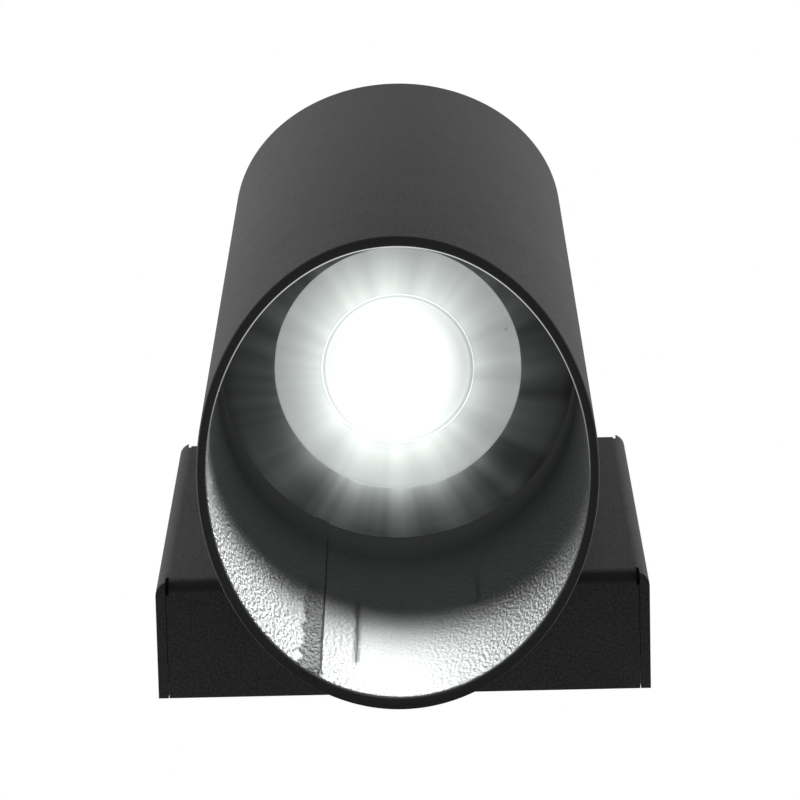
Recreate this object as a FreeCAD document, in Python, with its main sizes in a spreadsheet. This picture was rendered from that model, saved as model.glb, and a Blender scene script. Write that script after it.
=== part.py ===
import FreeCAD, Part
import math
import os
from types import SimpleNamespace

import Sketcher

# Tube wall light, in millimetres. The origin is the centre of the wall mount on the wall plane y = 0.
# The light stands out along -Y, and the tube runs along Z with its lit end down.

SIZES = {
    # Tube: a standard welded steel tube with both ends cut at a slant, longer on the wall side.
    "tube_diameter": 76.1,
    "tube_wall": 2.0,
    "tube_length": 240.0,
    "cut_angle": 40.0,
    "rim_break": 0.3,
    "bead_rise": 0.45,
    "bead_turn": 27.0,
    # Cover: the folded steel box between tube and wall.
    "cover_width": 100.0,
    "cover_height": 118.0,
    "cover_depth": 24.5,
    "cover_sheet": 2.0,
    "cover_bend": 1.0,
    "cover_wall_gap": 0.5,
    "relief_width": 0.7,
    "seam_gap": 0.15,
    # Wall plate with its ears, slots, cable hole and cable bush.
    "plate_sheet": 1.5,
    "plate_margin": 3.0,
    "ear_gap": 0.4,
    "ear_width": 24.0,
    "ear_depth": 14.0,
    "slot_spacing": 60.0,
    "slot_width": 4.5,
    "slot_length": 14.0,
    "entry_diameter": 18.0,
    "entry_bore": 12.0,
    "entry_flange": 2.5,
    # M3 screws and washers: in the cover's sides, through the lamp holder and in the terminal block.
    "small_screw": 3.0,
    "small_screw_length": 8.0,
    "small_screw_head": 6.0,
    "small_screw_head_height": 2.0,
    "small_washer": 7.0,
    "small_washer_sheet": 0.5,
    "small_socket": 2.0,
    "cover_screw_head": 5.6,
    "cover_screw_cone": 1.7,
    "cover_screw_depth": 9.0,
    "ear_nut_diameter": 6.5,
    "ear_nut_height": 2.5,
    # M5 screws that hold tube, saddle pads and lamp bracket on the cover.
    "tube_screw": 5.0,
    "tube_screw_length": 16.0,
    "tube_screw_head": 9.5,
    "tube_screw_head_height": 3.0,
    "tube_socket": 3.0,
    "tube_screw_spacing": 36.0,
    "washer_diameter": 10.0,
    "washer_sheet": 1.0,
    "pad_width": 16.0,
    "pad_thickness": 2.5,
    "nut_across": 8.0,
    "nut_height": 4.7,
    # Lamp bracket.
    "bracket_sheet": 2.0,
    "bracket_width": 20.0,
    "bracket_foot": 27.0,
    "bracket_reach": 14.0,
    # Lamp with a twist-lock base. Heights are behind its face.
    "lamp_face": 37.0,
    "lamp_diameter": 50.5,
    "lamp_length": 47.5,
    "bezel_sheet": 1.8,
    "bezel_skirt": 5.0,
    "bezel_wall": 1.2,
    "bezel_round": 0.8,
    "lens_diameter": 31.0,
    "lens_recess": 0.4,
    "lens_flange": 1.5,
    "chip_diameter": 11.0,
    "chip_height": 0.8,
    "board_depth": 13.2,
    "board_sheet": 1.6,
    "sink_sheet": 2.0,
    "housing_wall": 1.4,
    "housing_step": 0.25,
    "band_height": 4.0,
    "waist_diameter": 36.0,
    "waist_height": 27.0,
    "neck_diameter": 31.0,
    "neck_height": 34.0,
    "neck_top": 38.0,
    "driver_width": 20.0,
    "driver_sheet": 1.2,
    "coil_width": 6.0,
    "can_diameter": 6.0,
    "can_height": 9.0,
    "plug_depth": 3.0,
    "boss_diameter": 17.0,
    "boss_height": 5.5,
    "pin_spacing": 10.0,
    "pin_neck": 3.0,
    "pin_head": 5.0,
    "pin_head_height": 2.6,
    "pin_root": 4.0,
    "twist_angle": 25.0,
    # Lamp holder: a ceramic body with a ceramic face plate in front of it.
    "holder_diameter": 27.0,
    "holder_height": 16.0,
    "holder_face": 3.0,
    "holder_cavity": 6.0,
    "holder_screw_spacing": 19.0,
    "holder_screw_length": 18.0,
    "contact_tail": 2.0,
    # Pressed ring around the lamp and pressed disc above the holder.
    "cup_sheet": 1.0,
    "cup_bend": 0.5,
    "cup_skirt": 9.0,
    "slit_start": 3.0,
    "slit_width": 1.6,
    "closing_height": 67.0,
    # Leads, their bush through cover and tube, and the earth lug.
    "lead_diameter": 2.2,
    "lead_height": 44.0,
    "lead_hole": 10.0,
    "lead_run": 8.0,
    "lead_entry": 5.0,
    "live_depth": 7.5,
    "neutral_depth": 11.5,
    "bush_wall": 1.5,
    "bush_flange": 1.2,
    "lug_sheet": 0.8,
    "lug_diameter": 9.0,
    "lug_barrel": 6.0,
    # Terminal block.
    "block_pitch": 9.5,
    "block_height": 20.0,
    "block_depth": 15.0,
    "block_centre": 28.0,
    "block_level": 19.0,
    "block_sink": 2.5,
    "clamp_diameter": 4.6,
    "clamp_bore": 3.0,
    "clamp_depth": 7.0,
    "clamp_recess": 2.0,
    "clamp_screw": 2.6,
    "screw_slot": 0.6,
    # Clearances between pieces that fit together.
    "fit_gap": 0.05,
    "close_gap": 0.15,
    "loose_gap": 0.3,
    "hole_gap": 0.25,
    "lamp_gap": 0.5,
}

# How far a cutting tool reaches past the surface that it opens, and how deep a screw's socket is in its head.
TOOL_REACH = 1.0
SOCKET_SHARE = 0.6

doc = FreeCAD.newDocument("TubeWallLight")
parts = []


class Size:
    """A length in mm, kept with the sheet expression that it is worked out from."""

    def __init__(self, value, text):
        self.value = value
        self.text = text

    def __add__(self, other):
        other = as_size(other)
        return Size(self.value + other.value, f"({self.text} + {other.text})")

    def __sub__(self, other):
        other = as_size(other)
        return Size(self.value - other.value, f"({self.text} - {other.text})")

    def __mul__(self, other):
        other = as_size(other)
        return Size(self.value * other.value, f"({self.text} * {other.text})")

    def __truediv__(self, other):
        other = as_size(other)
        return Size(self.value / other.value, f"({self.text} / {other.text})")

    def __neg__(self):
        return Size(-self.value, f"(0 - {self.text})")

    def __radd__(self, other):
        return as_size(other) + self

    def __rsub__(self, other):
        return as_size(other) - self

    def __rmul__(self, other):
        return as_size(other) * self


def as_size(number):
    """Takes a plain number or a Size and gives a Size."""
    if isinstance(number, Size):
        return number
    return Size(float(number), f"({float(number)})")


def sine(angle):
    return Size(math.sin(math.radians(angle.value)), f"sin({angle.text})")


def cosine(angle):
    return Size(math.cos(math.radians(angle.value)), f"cos({angle.text})")


def tangent(angle):
    return Size(math.tan(math.radians(angle.value)), f"tan({angle.text})")


def make_sheet():
    """Puts the driving sizes in the sheet and gives each back as a Size under its alias."""
    sheet = doc.addObject("Spreadsheet::Sheet", "Sizes")
    for row, (alias, value) in enumerate(SIZES.items(), start=1):
        sheet.set(f"A{row}", str(value))
        sheet.setAlias(f"A{row}", alias)
    doc.recompute()
    return {alias: Size(float(sheet.get(alias)), f"Sizes.{alias}") for alias in SIZES}


def bind(item, **lengths):
    """Binds properties of an object to sheet expressions."""
    for name, length in lengths.items():
        item.setExpression(name, as_size(length).text)
    return item


TOWARDS = {
    "z": FreeCAD.Rotation(),
    "-z": FreeCAD.Rotation(FreeCAD.Vector(1, 0, 0), 180),
    "x": FreeCAD.Rotation(FreeCAD.Vector(0, 1, 0), 90),
    "-x": FreeCAD.Rotation(FreeCAD.Vector(0, 1, 0), -90),
    "y": FreeCAD.Rotation(FreeCAD.Vector(1, 0, 0), -90),
    "-y": FreeCAD.Rotation(FreeCAD.Vector(1, 0, 0), 90),
}


def place(item, at=(0, 0, 0), towards="z"):
    """Moves an object to a point, with its own Z axis turned towards an axis of the light."""
    item.Placement = FreeCAD.Placement(FreeCAD.Vector(), TOWARDS[towards])
    for axis, length in zip("xyz", at):
        item.setExpression(f"Placement.Base.{axis}", as_size(length).text)
    return item


def cylinder(diameter, length, at=(0, 0, 0), towards="z", angle=360):
    item = bind(doc.addObject("Part::Cylinder", "Cylinder"), Radius=diameter / 2, Height=length, Angle=angle)
    return place(item, at, towards)


def cone(diameter, end_diameter, length, at=(0, 0, 0), towards="z"):
    item = doc.addObject("Part::Cone", "Cone")
    bind(item, Radius1=diameter / 2, Radius2=end_diameter / 2, Height=length)
    return place(item, at, towards)


def block(sizes, centre):
    """A box with its sizes along X, Y and Z about a centre."""
    item = doc.addObject("Part::Box", "Block")
    bind(item, Length=sizes[0], Width=sizes[1], Height=sizes[2])
    return place(item, [middle - size / 2 for middle, size in zip(centre, map(as_size, sizes))])


def hexagon(across, length, at=(0, 0, 0), towards="z"):
    item = doc.addObject("Part::Prism", "Hexagon")
    item.Polygon = 6
    bind(item, Circumradius=across / 2 / cosine(as_size(30)), Height=length)
    return place(item, at, towards)


def several(kind, name, property_name, items):
    item = doc.addObject(kind, name)
    setattr(item, property_name, list(items))
    return item


def fuse(*items, name="Joined"):
    item = several("Part::MultiFuse", name, "Shapes", items)
    item.Refine = True
    return item


def common(*items, name="Shared"):
    return several("Part::MultiCommon", name, "Shapes", items)


def group(*items, name="Set"):
    """Separate solids kept together, such as a set of equal screws."""
    return several("Part::Compound", name, "Links", items)


def cut(base, *tools, name="Trimmed"):
    item = doc.addObject("Part::Cut", name)
    item.Base = base
    item.Tool = tools[0] if len(tools) == 1 else several("Part::MultiFuse", "Tools", "Shapes", tools)
    return item


def keep(item, label):
    """Names a finished sub-part and puts it on the list of parts."""
    item.Label = label
    parts.append(item)
    return item


def new_body(name):
    return doc.addObject("PartDesign::Body", name)


def origin_feature(body, role):
    return next(feature for feature in body.Origin.OriginFeatures if feature.Role == role)


def new_sketch(body, role):
    sketch = body.newObject("Sketcher::SketchObject", "Outline")
    sketch.AttachmentSupport = (origin_feature(body, role), [""])
    sketch.MapMode = "FlatFace"
    return sketch


def hold(sketch, geometry, point, axis, length):
    """Holds a sketch point at a signed distance from the sketch's origin along its X or Y."""
    if abs(length.value) < 1e-9:
        on_axis = -2 if axis == "X" else -1
        sketch.addConstraint(Sketcher.Constraint("PointOnObject", geometry, point, on_axis))
        return
    ends = (-1, 1, geometry, point)
    if length.value < 0:
        ends = (geometry, point, -1, 1)
        length = -length
    number = sketch.addConstraint(Sketcher.Constraint("Distance" + axis, *ends, length.value))
    sketch.setExpression(f"Constraints[{number}]", length.text)


def add_circle(sketch, u, v, diameter):
    u, v, diameter = as_size(u), as_size(v), as_size(diameter)
    middle = FreeCAD.Vector(u.value, v.value, 0)
    circle = sketch.addGeometry(Part.Circle(middle, FreeCAD.Vector(0, 0, 1), diameter.value / 2))
    hold(sketch, circle, 3, "X", u)
    hold(sketch, circle, 3, "Y", v)
    number = sketch.addConstraint(Sketcher.Constraint("Diameter", circle, diameter.value))
    sketch.setExpression(f"Constraints[{number}]", diameter.text)


def bend_points(before, corner, after, radius):
    """Start, end and middle of the arc that rounds a square corner, and whether it turns left."""
    inward = (corner - before).normalize()
    outward = (after - corner).normalize()
    start = corner - inward * radius
    end = corner + outward * radius
    middle = start + outward * radius
    return start, end, middle, inward.cross(outward).z > 0


def add_outline(sketch, corners):
    """Draws a closed outline. A corner is (u, v), or (u, v, radius) where two square lines meet in an arc."""
    corners = [[as_size(value) for value in corner] for corner in corners]
    count = len(corners)
    points = [FreeCAD.Vector(corner[0].value, corner[1].value, 0) for corner in corners]
    starts, ends, arcs = list(points), list(points), {}
    for i, corner in enumerate(corners):
        if len(corner) == 3:
            before, after = points[i - 1], points[(i + 1) % count]
            start, end, middle, left = bend_points(before, points[i], after, corner[2].value)
            starts[i], ends[i], arcs[i] = start, end, (middle, left)
    lines = [sketch.addGeometry(Part.LineSegment(ends[i], starts[(i + 1) % count])) for i in range(count)]
    runs = [points[(i + 1) % count] - points[i] for i in range(count)]
    level = [abs(run.y) < 1e-9 for run in runs]
    upright = [abs(run.x) < 1e-9 for run in runs]
    for i in range(count):
        if i in arcs:
            middle, left = arcs[i]
            radius = corners[i][2]
            around = [math.atan2(p.y - middle.y, p.x - middle.x) for p in (starts[i], ends[i])]
            circle = Part.Circle(middle, FreeCAD.Vector(0, 0, 1), radius.value)
            arc = sketch.addGeometry(Part.ArcOfCircle(circle, *(around if left else around[::-1])))
            first, last = (1, 2) if left else (2, 1)
            sketch.addConstraint(Sketcher.Constraint("Tangent", lines[i - 1], 2, arc, first))
            sketch.addConstraint(Sketcher.Constraint("Tangent", arc, last, lines[i], 1))
            number = sketch.addConstraint(Sketcher.Constraint("Radius", arc, radius.value))
            sketch.setExpression(f"Constraints[{number}]", radius.text)
        else:
            sketch.addConstraint(Sketcher.Constraint("Coincident", lines[i - 1], 2, lines[i], 1))
    for i in range(count):
        if level[i]:
            sketch.addConstraint(Sketcher.Constraint("Horizontal", lines[i]))
            hold(sketch, lines[i], 1, "Y", corners[i][1])
        if upright[i]:
            sketch.addConstraint(Sketcher.Constraint("Vertical", lines[i]))
            hold(sketch, lines[i], 1, "X", corners[i][0])
        if not (upright[i] or upright[i - 1]):
            hold(sketch, lines[i], 1, "X", corners[i][0])
        if not (level[i] or level[i - 1]):
            hold(sketch, lines[i], 1, "Y", corners[i][1])


def pad(body, sketch, length):
    """Thickens an outline by a length, half on each side of its plane."""
    feature = body.newObject("PartDesign::Pad", "Pad")
    feature.Profile = sketch
    feature.SideType = "Symmetric"
    return bind(feature, Length=length)


def pocket(body, sketch, length, both_sides=True):
    feature = body.newObject("PartDesign::Pocket", "Pocket")
    feature.Profile = sketch
    feature.SideType = "Symmetric" if both_sides else "One side"
    return bind(feature, Length=length)


def extruded(name, role, length, corners):
    """A body with one outline, thickened about its plane."""
    body = new_body(name)
    sketch = new_sketch(body, role)
    add_outline(sketch, corners)
    pad(body, sketch, length)
    return body


def turned(name, corners):
    """A body turned about its own Z axis from an outline of (radius, height) corners."""
    body = new_body(name)
    sketch = new_sketch(body, "XZ_Plane")
    add_outline(sketch, corners)
    feature = body.newObject("PartDesign::Revolution", "Revolution")
    feature.Profile = sketch
    feature.ReferenceAxis = (sketch, ["V_Axis"])
    return body


def dress(body, kind, chosen, **lengths):
    """Adds a fillet or chamfer to the body's edges that the test chooses."""
    doc.recompute()
    base = body.Tip
    names = [f"Edge{n}" for n, edge in enumerate(base.Shape.Edges, start=1) if chosen(edge)]
    feature = body.newObject("PartDesign::" + kind, kind)
    feature.Base = (base, names)
    return bind(feature, **lengths)


def removed(body, feature):
    """Stops the build if a pocket took nothing away."""
    doc.recompute()
    if feature.Shape.Volume > feature.BaseFeature.Shape.Volume - 1.0:
        raise RuntimeError(f"{body.Name}: {feature.Name} cuts nothing")


s = SimpleNamespace(**make_sheet())

# Lines and faces that several pieces share. Across X:
ear_outside = s.cover_width / 2 - s.cover_sheet - s.ear_gap
ear_inside = ear_outside - s.plate_sheet
pole_x = [s.block_pitch * step - s.block_centre for step in (1, 0, -1)]
block_screw_x = s.block_pitch / 2 - s.block_centre
# Along Y, with the wall at 0:
tube_radius = s.tube_diameter / 2
bore_radius = tube_radius - s.tube_wall
cover_front = -(s.cover_wall_gap + s.cover_depth)
cover_inside = cover_front + s.cover_sheet
axis_y = cover_front - tube_radius
bore_floor = axis_y + bore_radius
pad_top = bore_floor - s.pad_thickness
foot_top = pad_top - s.bracket_sheet
clamp_y = -(s.plate_sheet + s.clamp_depth)
block_front = -(s.plate_sheet + s.block_depth)
# Along Z:
face_z = -s.lamp_face
holder_front = face_z + s.lamp_length + s.loose_gap
holder_back = holder_front + s.holder_height
web_top = holder_back + s.bracket_sheet
tube_screw_heights = (-s.tube_screw_spacing / 2, s.tube_screw_spacing / 2)
# Holes and gaps:
slant = tangent(s.cut_angle)
tube_screw_hole = s.tube_screw + 2 * s.hole_gap
small_screw_hole = s.small_screw + 2 * s.hole_gap
small_screw_thread = s.small_screw + 2 * s.fit_gap
lead_bore = s.lead_diameter + 2 * s.loose_gap


def make_weld_bead():
    """The raised inner bead of the tube's long weld, which stops just short of both rims."""
    ends = new_body("bead_ends")
    side_view = new_sketch(ends, "YZ_Plane")
    middle = s.tube_length / 2 - 2 * s.rim_break
    rise = slant * tube_radius
    add_outline(
        side_view,
        [
            (-tube_radius, rise - middle),
            (-tube_radius, middle - rise),
            (tube_radius, middle + rise),
            (tube_radius, -middle - rise),
        ],
    )
    pad(ends, side_view, s.tube_diameter)
    place(ends, (0, axis_y, 0))
    bead_diameter = s.tube_wall + s.bead_rise - s.fit_gap
    distance = bore_radius - s.bead_rise + bead_diameter / 2
    bead = cylinder(
        bead_diameter,
        2 * s.tube_length,
        (-distance * sine(s.bead_turn), axis_y + distance * cosine(s.bead_turn), -s.tube_length),
    )
    return common(bead, ends, name="Bead")


def make_tube():
    """The tube: a round blank cut off at a slant at both ends, with holes on its wall side."""
    body = new_body("tube_blank")
    ring = new_sketch(body, "XY_Plane")
    add_circle(ring, 0, 0, s.tube_diameter)
    add_circle(ring, 0, 0, 2 * bore_radius)
    reach = tube_radius + TOOL_REACH
    pad(body, ring, s.tube_length + 2 * slant * reach)
    for end in (-1, 1):
        offcut = new_sketch(body, "YZ_Plane")
        middle = end * s.tube_length / 2
        rise = end * slant * reach
        beyond = middle + 2 * rise
        add_outline(
            offcut,
            [(-reach, middle - rise), (reach, middle + rise), (reach, beyond), (-reach, beyond)],
        )
        removed(body, pocket(body, offcut, 2 * s.tube_diameter))
    holes = new_sketch(body, "XZ_Plane")
    for height in tube_screw_heights:
        add_circle(holes, 0, height, tube_screw_hole)
    add_circle(holes, 0, s.lead_height, s.lead_hole)
    removed(body, pocket(body, holes, s.tube_diameter, both_sides=False))
    dress(body, "Chamfer", lambda edge: edge.BoundBox.XLength > bore_radius.value, Size=s.rim_break)
    place(body, (0, axis_y, 0))
    keep(fuse(body, make_weld_bead(), name="tube"), "tube_body")


def make_cover():
    """The folded cover: long sides and front in one U, with end flanges set in between the sides."""
    half_width, half_height = s.cover_width / 2, s.cover_height / 2
    outer_bend = s.cover_bend + s.cover_sheet
    inner_width = half_width - s.cover_sheet
    rim = -s.cover_wall_gap
    sides = extruded(
        "cover_sides",
        "XY_Plane",
        s.cover_height,
        [
            (-half_width, rim),
            (-half_width, cover_front, outer_bend),
            (half_width, cover_front, outer_bend),
            (half_width, rim),
            (inner_width, rim),
            (inner_width, cover_inside, s.cover_bend),
            (-inner_width, cover_inside, s.cover_bend),
            (-inner_width, rim),
        ],
    )
    trims, flanges, reliefs = [], [], []
    relief_sizes = (s.relief_width, 2 * outer_bend, outer_bend + s.relief_width)
    for end in (-1, 1):
        joint = end * (half_height - outer_bend - s.relief_width)
        flange_front = end * half_height
        flange_back = end * (half_height - s.cover_sheet)
        flange = extruded(
            "cover_end",
            "YZ_Plane",
            2 * (inner_width - s.seam_gap),
            [
                (cover_front, joint),
                (cover_front, flange_front, outer_bend),
                (rim, flange_front),
                (rim, flange_back),
                (cover_inside, flange_back, s.cover_bend),
                (cover_inside, joint),
            ],
        )
        flanges.append(flange)
        trim_middle = end * (half_height - outer_bend / 2)
        trims.append(block((2 * inner_width, 2 * s.cover_depth, outer_bend), (0, cover_front, trim_middle)))
        for side in (-1, 1):
            relief_x = side * (inner_width - s.relief_width / 2)
            relief_z = end * (half_height - outer_bend / 2 - s.relief_width / 2)
            reliefs.append(block(relief_sizes, (relief_x, cover_front, relief_z)))
    shell = fuse(cut(sides, *trims), *flanges, name="cover_shell")
    holes = []
    for side, towards in ((-1, "x"), (1, "-x")):
        spot = (side * half_width, -s.cover_screw_depth, 0)
        holes.append(cylinder(small_screw_hole, 2 * s.cover_sheet, spot, towards))
        sink = s.cover_screw_head + 2 * s.hole_gap
        holes.append(cone(sink, small_screw_hole, s.cover_screw_cone, spot, towards))
    back = cover_inside + TOOL_REACH
    for height in tube_screw_heights:
        holes.append(cylinder(tube_screw_hole, 2 * s.cover_sheet, (0, back, height), "-y"))
    holes.append(cylinder(s.lead_hole, 2 * s.cover_sheet, (0, back, s.lead_height), "-y"))
    keep(cut(shell, *reliefs, *holes, name="folded_cover"), "cover")


def make_cover_screws():
    """Two countersunk socket screws, flush in the cover's sides."""
    screws = []
    for side, towards in ((-1, "x"), (1, "-x")):
        head = cone(s.cover_screw_head, s.small_screw, s.cover_screw_cone)
        shank = cylinder(s.small_screw, s.small_screw_length)
        socket = hexagon(s.small_socket, s.cover_screw_cone * SOCKET_SHARE)
        screw = cut(fuse(head, shank), socket)
        screws.append(place(screw, (side * s.cover_width / 2, -s.cover_screw_depth, 0), towards))
    keep(group(*screws, name="cover_screw_set"), "cover_screws")


def make_wall_plate():
    """The wall plate: a flat base with two bent ears, two slots for the wall screws and the cable hole."""
    base_width = s.cover_width - 2 * s.cover_sheet - 2 * s.plate_margin
    base_height = s.cover_height - 2 * s.cover_sheet - 2 * s.plate_margin
    outer_bend = s.cover_bend + s.plate_sheet
    ears = extruded(
        "plate_ears",
        "XY_Plane",
        s.ear_width,
        [
            (-ear_outside, -s.ear_depth),
            (-ear_outside, 0, outer_bend),
            (ear_outside, 0, outer_bend),
            (ear_outside, -s.ear_depth),
            (ear_inside, -s.ear_depth),
            (ear_inside, -s.plate_sheet, s.cover_bend),
            (-ear_inside, -s.plate_sheet, s.cover_bend),
            (-ear_inside, -s.ear_depth),
        ],
    )
    base = block((base_width, s.plate_sheet, base_height), (0, -s.plate_sheet / 2, 0))
    wall = s.plate_sheet
    through = 4 * s.plate_sheet
    holes = [
        cylinder(s.entry_diameter, through, (0, wall, 0), "-y"),
        cylinder(small_screw_thread, through, (block_screw_x, wall, s.block_level), "-y"),
        cylinder(small_screw_hole, 2 * s.cover_width, (-s.cover_width, -s.cover_screw_depth, 0), "x"),
    ]
    straight = s.slot_length - s.slot_width
    for side in (-1, 1):
        middle = side * s.slot_spacing / 2
        holes.append(block((straight, through, s.slot_width), (middle, 0, 0)))
        for end in (-1, 1):
            holes.append(cylinder(s.slot_width, through, (middle + end * straight / 2, wall, 0), "-y"))
    keep(cut(fuse(ears, base), *holes, name="plate"), "wall_plate")


def make_ear_nuts():
    """Round nuts pressed on the inner faces of the plate's ears."""
    nuts = []
    for side, towards in ((-1, "x"), (1, "-x")):
        nut = cut(
            cylinder(s.ear_nut_diameter, s.ear_nut_height),
            cylinder(small_screw_thread, s.ear_nut_height),
        )
        nuts.append(place(nut, (side * ear_inside, -s.cover_screw_depth, 0), towards))
    keep(group(*nuts, name="ear_nut_set"), "ear_nuts")


def make_cable_bush():
    """The rubber bush in the plate's cable hole, flush with the wall plane."""
    sleeve = cylinder(s.entry_diameter - 2 * s.fit_gap, s.plate_sheet, towards="-y")
    flange_diameter = s.entry_diameter + 2 * s.entry_flange
    flange = cylinder(flange_diameter, s.entry_flange, (0, -s.plate_sheet, 0), "-y")
    bore = cylinder(s.entry_bore, 2 * s.entry_diameter, (0, s.entry_diameter, 0), "-y")
    keep(cut(fuse(sleeve, flange), bore, name="bush"), "cable_bush")


def make_tube_screws():
    """Two M5 screws from inside the cover, with washers, saddle pads in the bore and nuts on the bracket."""
    screws, washers, pads, nuts = [], [], [], []
    for height in tube_screw_heights:
        lug = s.lug_sheet if height.value > 0 else as_size(0)
        under_head = cover_inside + lug + s.washer_sheet
        head = cylinder(s.tube_screw_head, s.tube_screw_head_height, towards="-z")
        shank = cylinder(s.tube_screw, s.tube_screw_length + lug)
        socket_depth = s.tube_screw_head_height * SOCKET_SHARE
        socket = hexagon(s.tube_socket, s.tube_screw_head_height, (0, 0, -TOOL_REACH - socket_depth))
        screws.append(place(cut(fuse(head, shank), socket), (0, under_head, height), "-y"))
        ring = cut(cylinder(s.washer_diameter, s.washer_sheet), cylinder(tube_screw_hole, s.washer_sheet))
        washers.append(place(ring, (0, under_head, height), "-y"))
        thread = cylinder(s.tube_screw + 2 * s.fit_gap, s.nut_height)
        nuts.append(place(cut(hexagon(s.nut_across, s.nut_height), thread), (0, foot_top, height), "-y"))
        lump = block((s.pad_width, 2 * s.pad_thickness, s.pad_width), (0, bore_floor, height))
        bed = cylinder(2 * (bore_radius - s.fit_gap), s.tube_length, (0, axis_y, -s.tube_length / 2))
        hole = cylinder(tube_screw_hole, 4 * s.pad_thickness, (0, cover_front, height), "-y")
        pads.append(cut(common(lump, bed), hole))
    keep(group(*screws, name="tube_screw_set"), "tube_screws")
    keep(group(*washers, name="washer_set"), "screw_washers")
    keep(group(*pads, name="pad_set"), "saddle_pads")
    keep(group(*nuts, name="nut_set"), "bracket_nuts")


def make_lamp_bracket():
    """The bent strip in the tube: a foot on the saddle pads and a web that carries the holder."""
    strip = extruded(
        "bracket_strip",
        "YZ_Plane",
        s.bracket_width,
        [
            (pad_top, -s.bracket_foot),
            (pad_top, web_top, s.cover_bend + s.bracket_sheet),
            (axis_y - s.bracket_reach, web_top),
            (axis_y - s.bracket_reach, holder_back),
            (foot_top, holder_back, s.cover_bend),
            (foot_top, -s.bracket_foot),
        ],
    )
    through = 2 * s.bracket_sheet
    under_web = holder_back - TOOL_REACH
    holes = []
    for height in tube_screw_heights:
        holes.append(cylinder(tube_screw_hole, 2 * through, (0, bore_floor, height), "-y"))
    for side in (-1, 1):
        screw_y = axis_y + side * s.holder_screw_spacing / 2
        holes.append(cylinder(small_screw_hole, through, (0, screw_y, under_web)))
        holes.append(cylinder(2 * s.lead_diameter, through, (side * s.pin_spacing / 2, axis_y, under_web)))
    keep(cut(strip, *holes, name="bracket"), "lamp_bracket")


def twist_slot(width, bottom, height):
    """A curved slot for one lamp pin: round ends at the locked and unlocked places, with an arc between."""
    radius = s.pin_spacing / 2
    unlocked_x, unlocked_y = cosine(s.twist_angle) * radius, -sine(s.twist_angle) * radius
    locked = cylinder(width, height, (radius, 0, bottom))
    unlocked = cylinder(width, height, (unlocked_x, unlocked_y, bottom))
    arc = cut(
        cylinder(s.pin_spacing + width, height, (0, 0, bottom), angle=s.twist_angle),
        cylinder(s.pin_spacing - width, height, (0, 0, bottom)),
    )
    arc.setExpression("Placement.Rotation.Angle", (-s.twist_angle).text)
    return fuse(locked, unlocked, arc)


def make_lamp_holder():
    """The ceramic holder: a face plate with two twist slots, and a body with pockets and open notches."""
    neck_width = s.pin_neck + 2 * s.loose_gap
    head_width = s.pin_head + 2 * s.loose_gap
    radius = s.pin_spacing / 2
    body_height = s.holder_height - s.holder_face
    through = s.holder_height + 2 * TOOL_REACH
    entry_spot = (cosine(s.twist_angle) * radius, -sine(s.twist_angle) * radius, -TOOL_REACH)
    slots, pockets = [], []
    for side, turn in ((1, 0), (-1, 180)):
        slot = fuse(
            twist_slot(neck_width, as_size(-TOOL_REACH), through),
            cylinder(head_width, through, entry_spot),
        )
        chamber = twist_slot(head_width, as_size(-TOOL_REACH), s.holder_cavity + TOOL_REACH)
        for tool in (slot, chamber):
            tool.Placement.Rotation = FreeCAD.Rotation(FreeCAD.Vector(0, 0, 1), turn)
        slots.append(slot)
        pockets.append(chamber)
        pockets.append(cylinder(lead_bore, through, (side * radius, 0, 0)))
        screw_spot = (0, side * s.holder_screw_spacing / 2, -TOOL_REACH)
        slots.append(cylinder(small_screw_thread, through, screw_spot))
        pockets.append(cylinder(small_screw_hole, through, screw_spot))
        notch_middle = side * (s.holder_screw_spacing + s.holder_diameter) / 2
        notch_sizes = (small_screw_hole, s.holder_diameter, through)
        pockets.append(block(notch_sizes, (0, notch_middle, body_height / 2)))
    face = cut(cylinder(s.holder_diameter, s.holder_face), *slots, name="holder_plate")
    keep(place(face, (0, axis_y, holder_front)), "holder_face")
    body = cut(cylinder(s.holder_diameter, body_height), *pockets, name="holder_block")
    keep(place(body, (0, axis_y, holder_front + s.holder_face)), "lamp_holder")


def make_holder_contacts():
    """The contact studs over the locked pin heads, each with a tail up its lead hole."""
    ceiling = s.holder_face + s.holder_cavity
    cap_bottom = s.holder_face + s.pin_head_height + 3 * s.loose_gap
    studs = []
    for side in (-1, 1):
        middle = side * s.pin_spacing / 2
        cap = cylinder(s.pin_head, ceiling - cap_bottom, (middle, 0, cap_bottom))
        tail = cylinder(lead_bore - 2 * s.fit_gap, s.contact_tail, (middle, 0, ceiling))
        studs.append(place(fuse(cap, tail), (0, axis_y, holder_front)))
    keep(group(*studs, name="contact_set"), "holder_contacts")


def make_holder_screws():
    """Two screws with washers that clamp bracket, holder body and face plate together."""
    screws, washers = [], []
    for side in (-1, 1):
        spot = (0, axis_y + side * s.holder_screw_spacing / 2, web_top)
        ring = cut(
            cylinder(s.small_washer, s.small_washer_sheet),
            cylinder(small_screw_hole, s.small_washer_sheet),
        )
        washers.append(place(ring, spot))
        head = cylinder(s.small_screw_head, s.small_screw_head_height)
        shank = cylinder(s.small_screw, s.holder_screw_length, towards="-z")
        socket_floor = s.small_screw_head_height * (1 - SOCKET_SHARE)
        socket = hexagon(s.small_socket, s.small_screw_head_height, (0, 0, socket_floor))
        screw = cut(fuse(head, shank), socket)
        screws.append(place(screw, (spot[0], spot[1], web_top + s.small_washer_sheet)))
    keep(group(*screws, name="holder_screw_set"), "holder_screws")
    keep(group(*washers, name="holder_washer_set"), "holder_washers")


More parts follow.
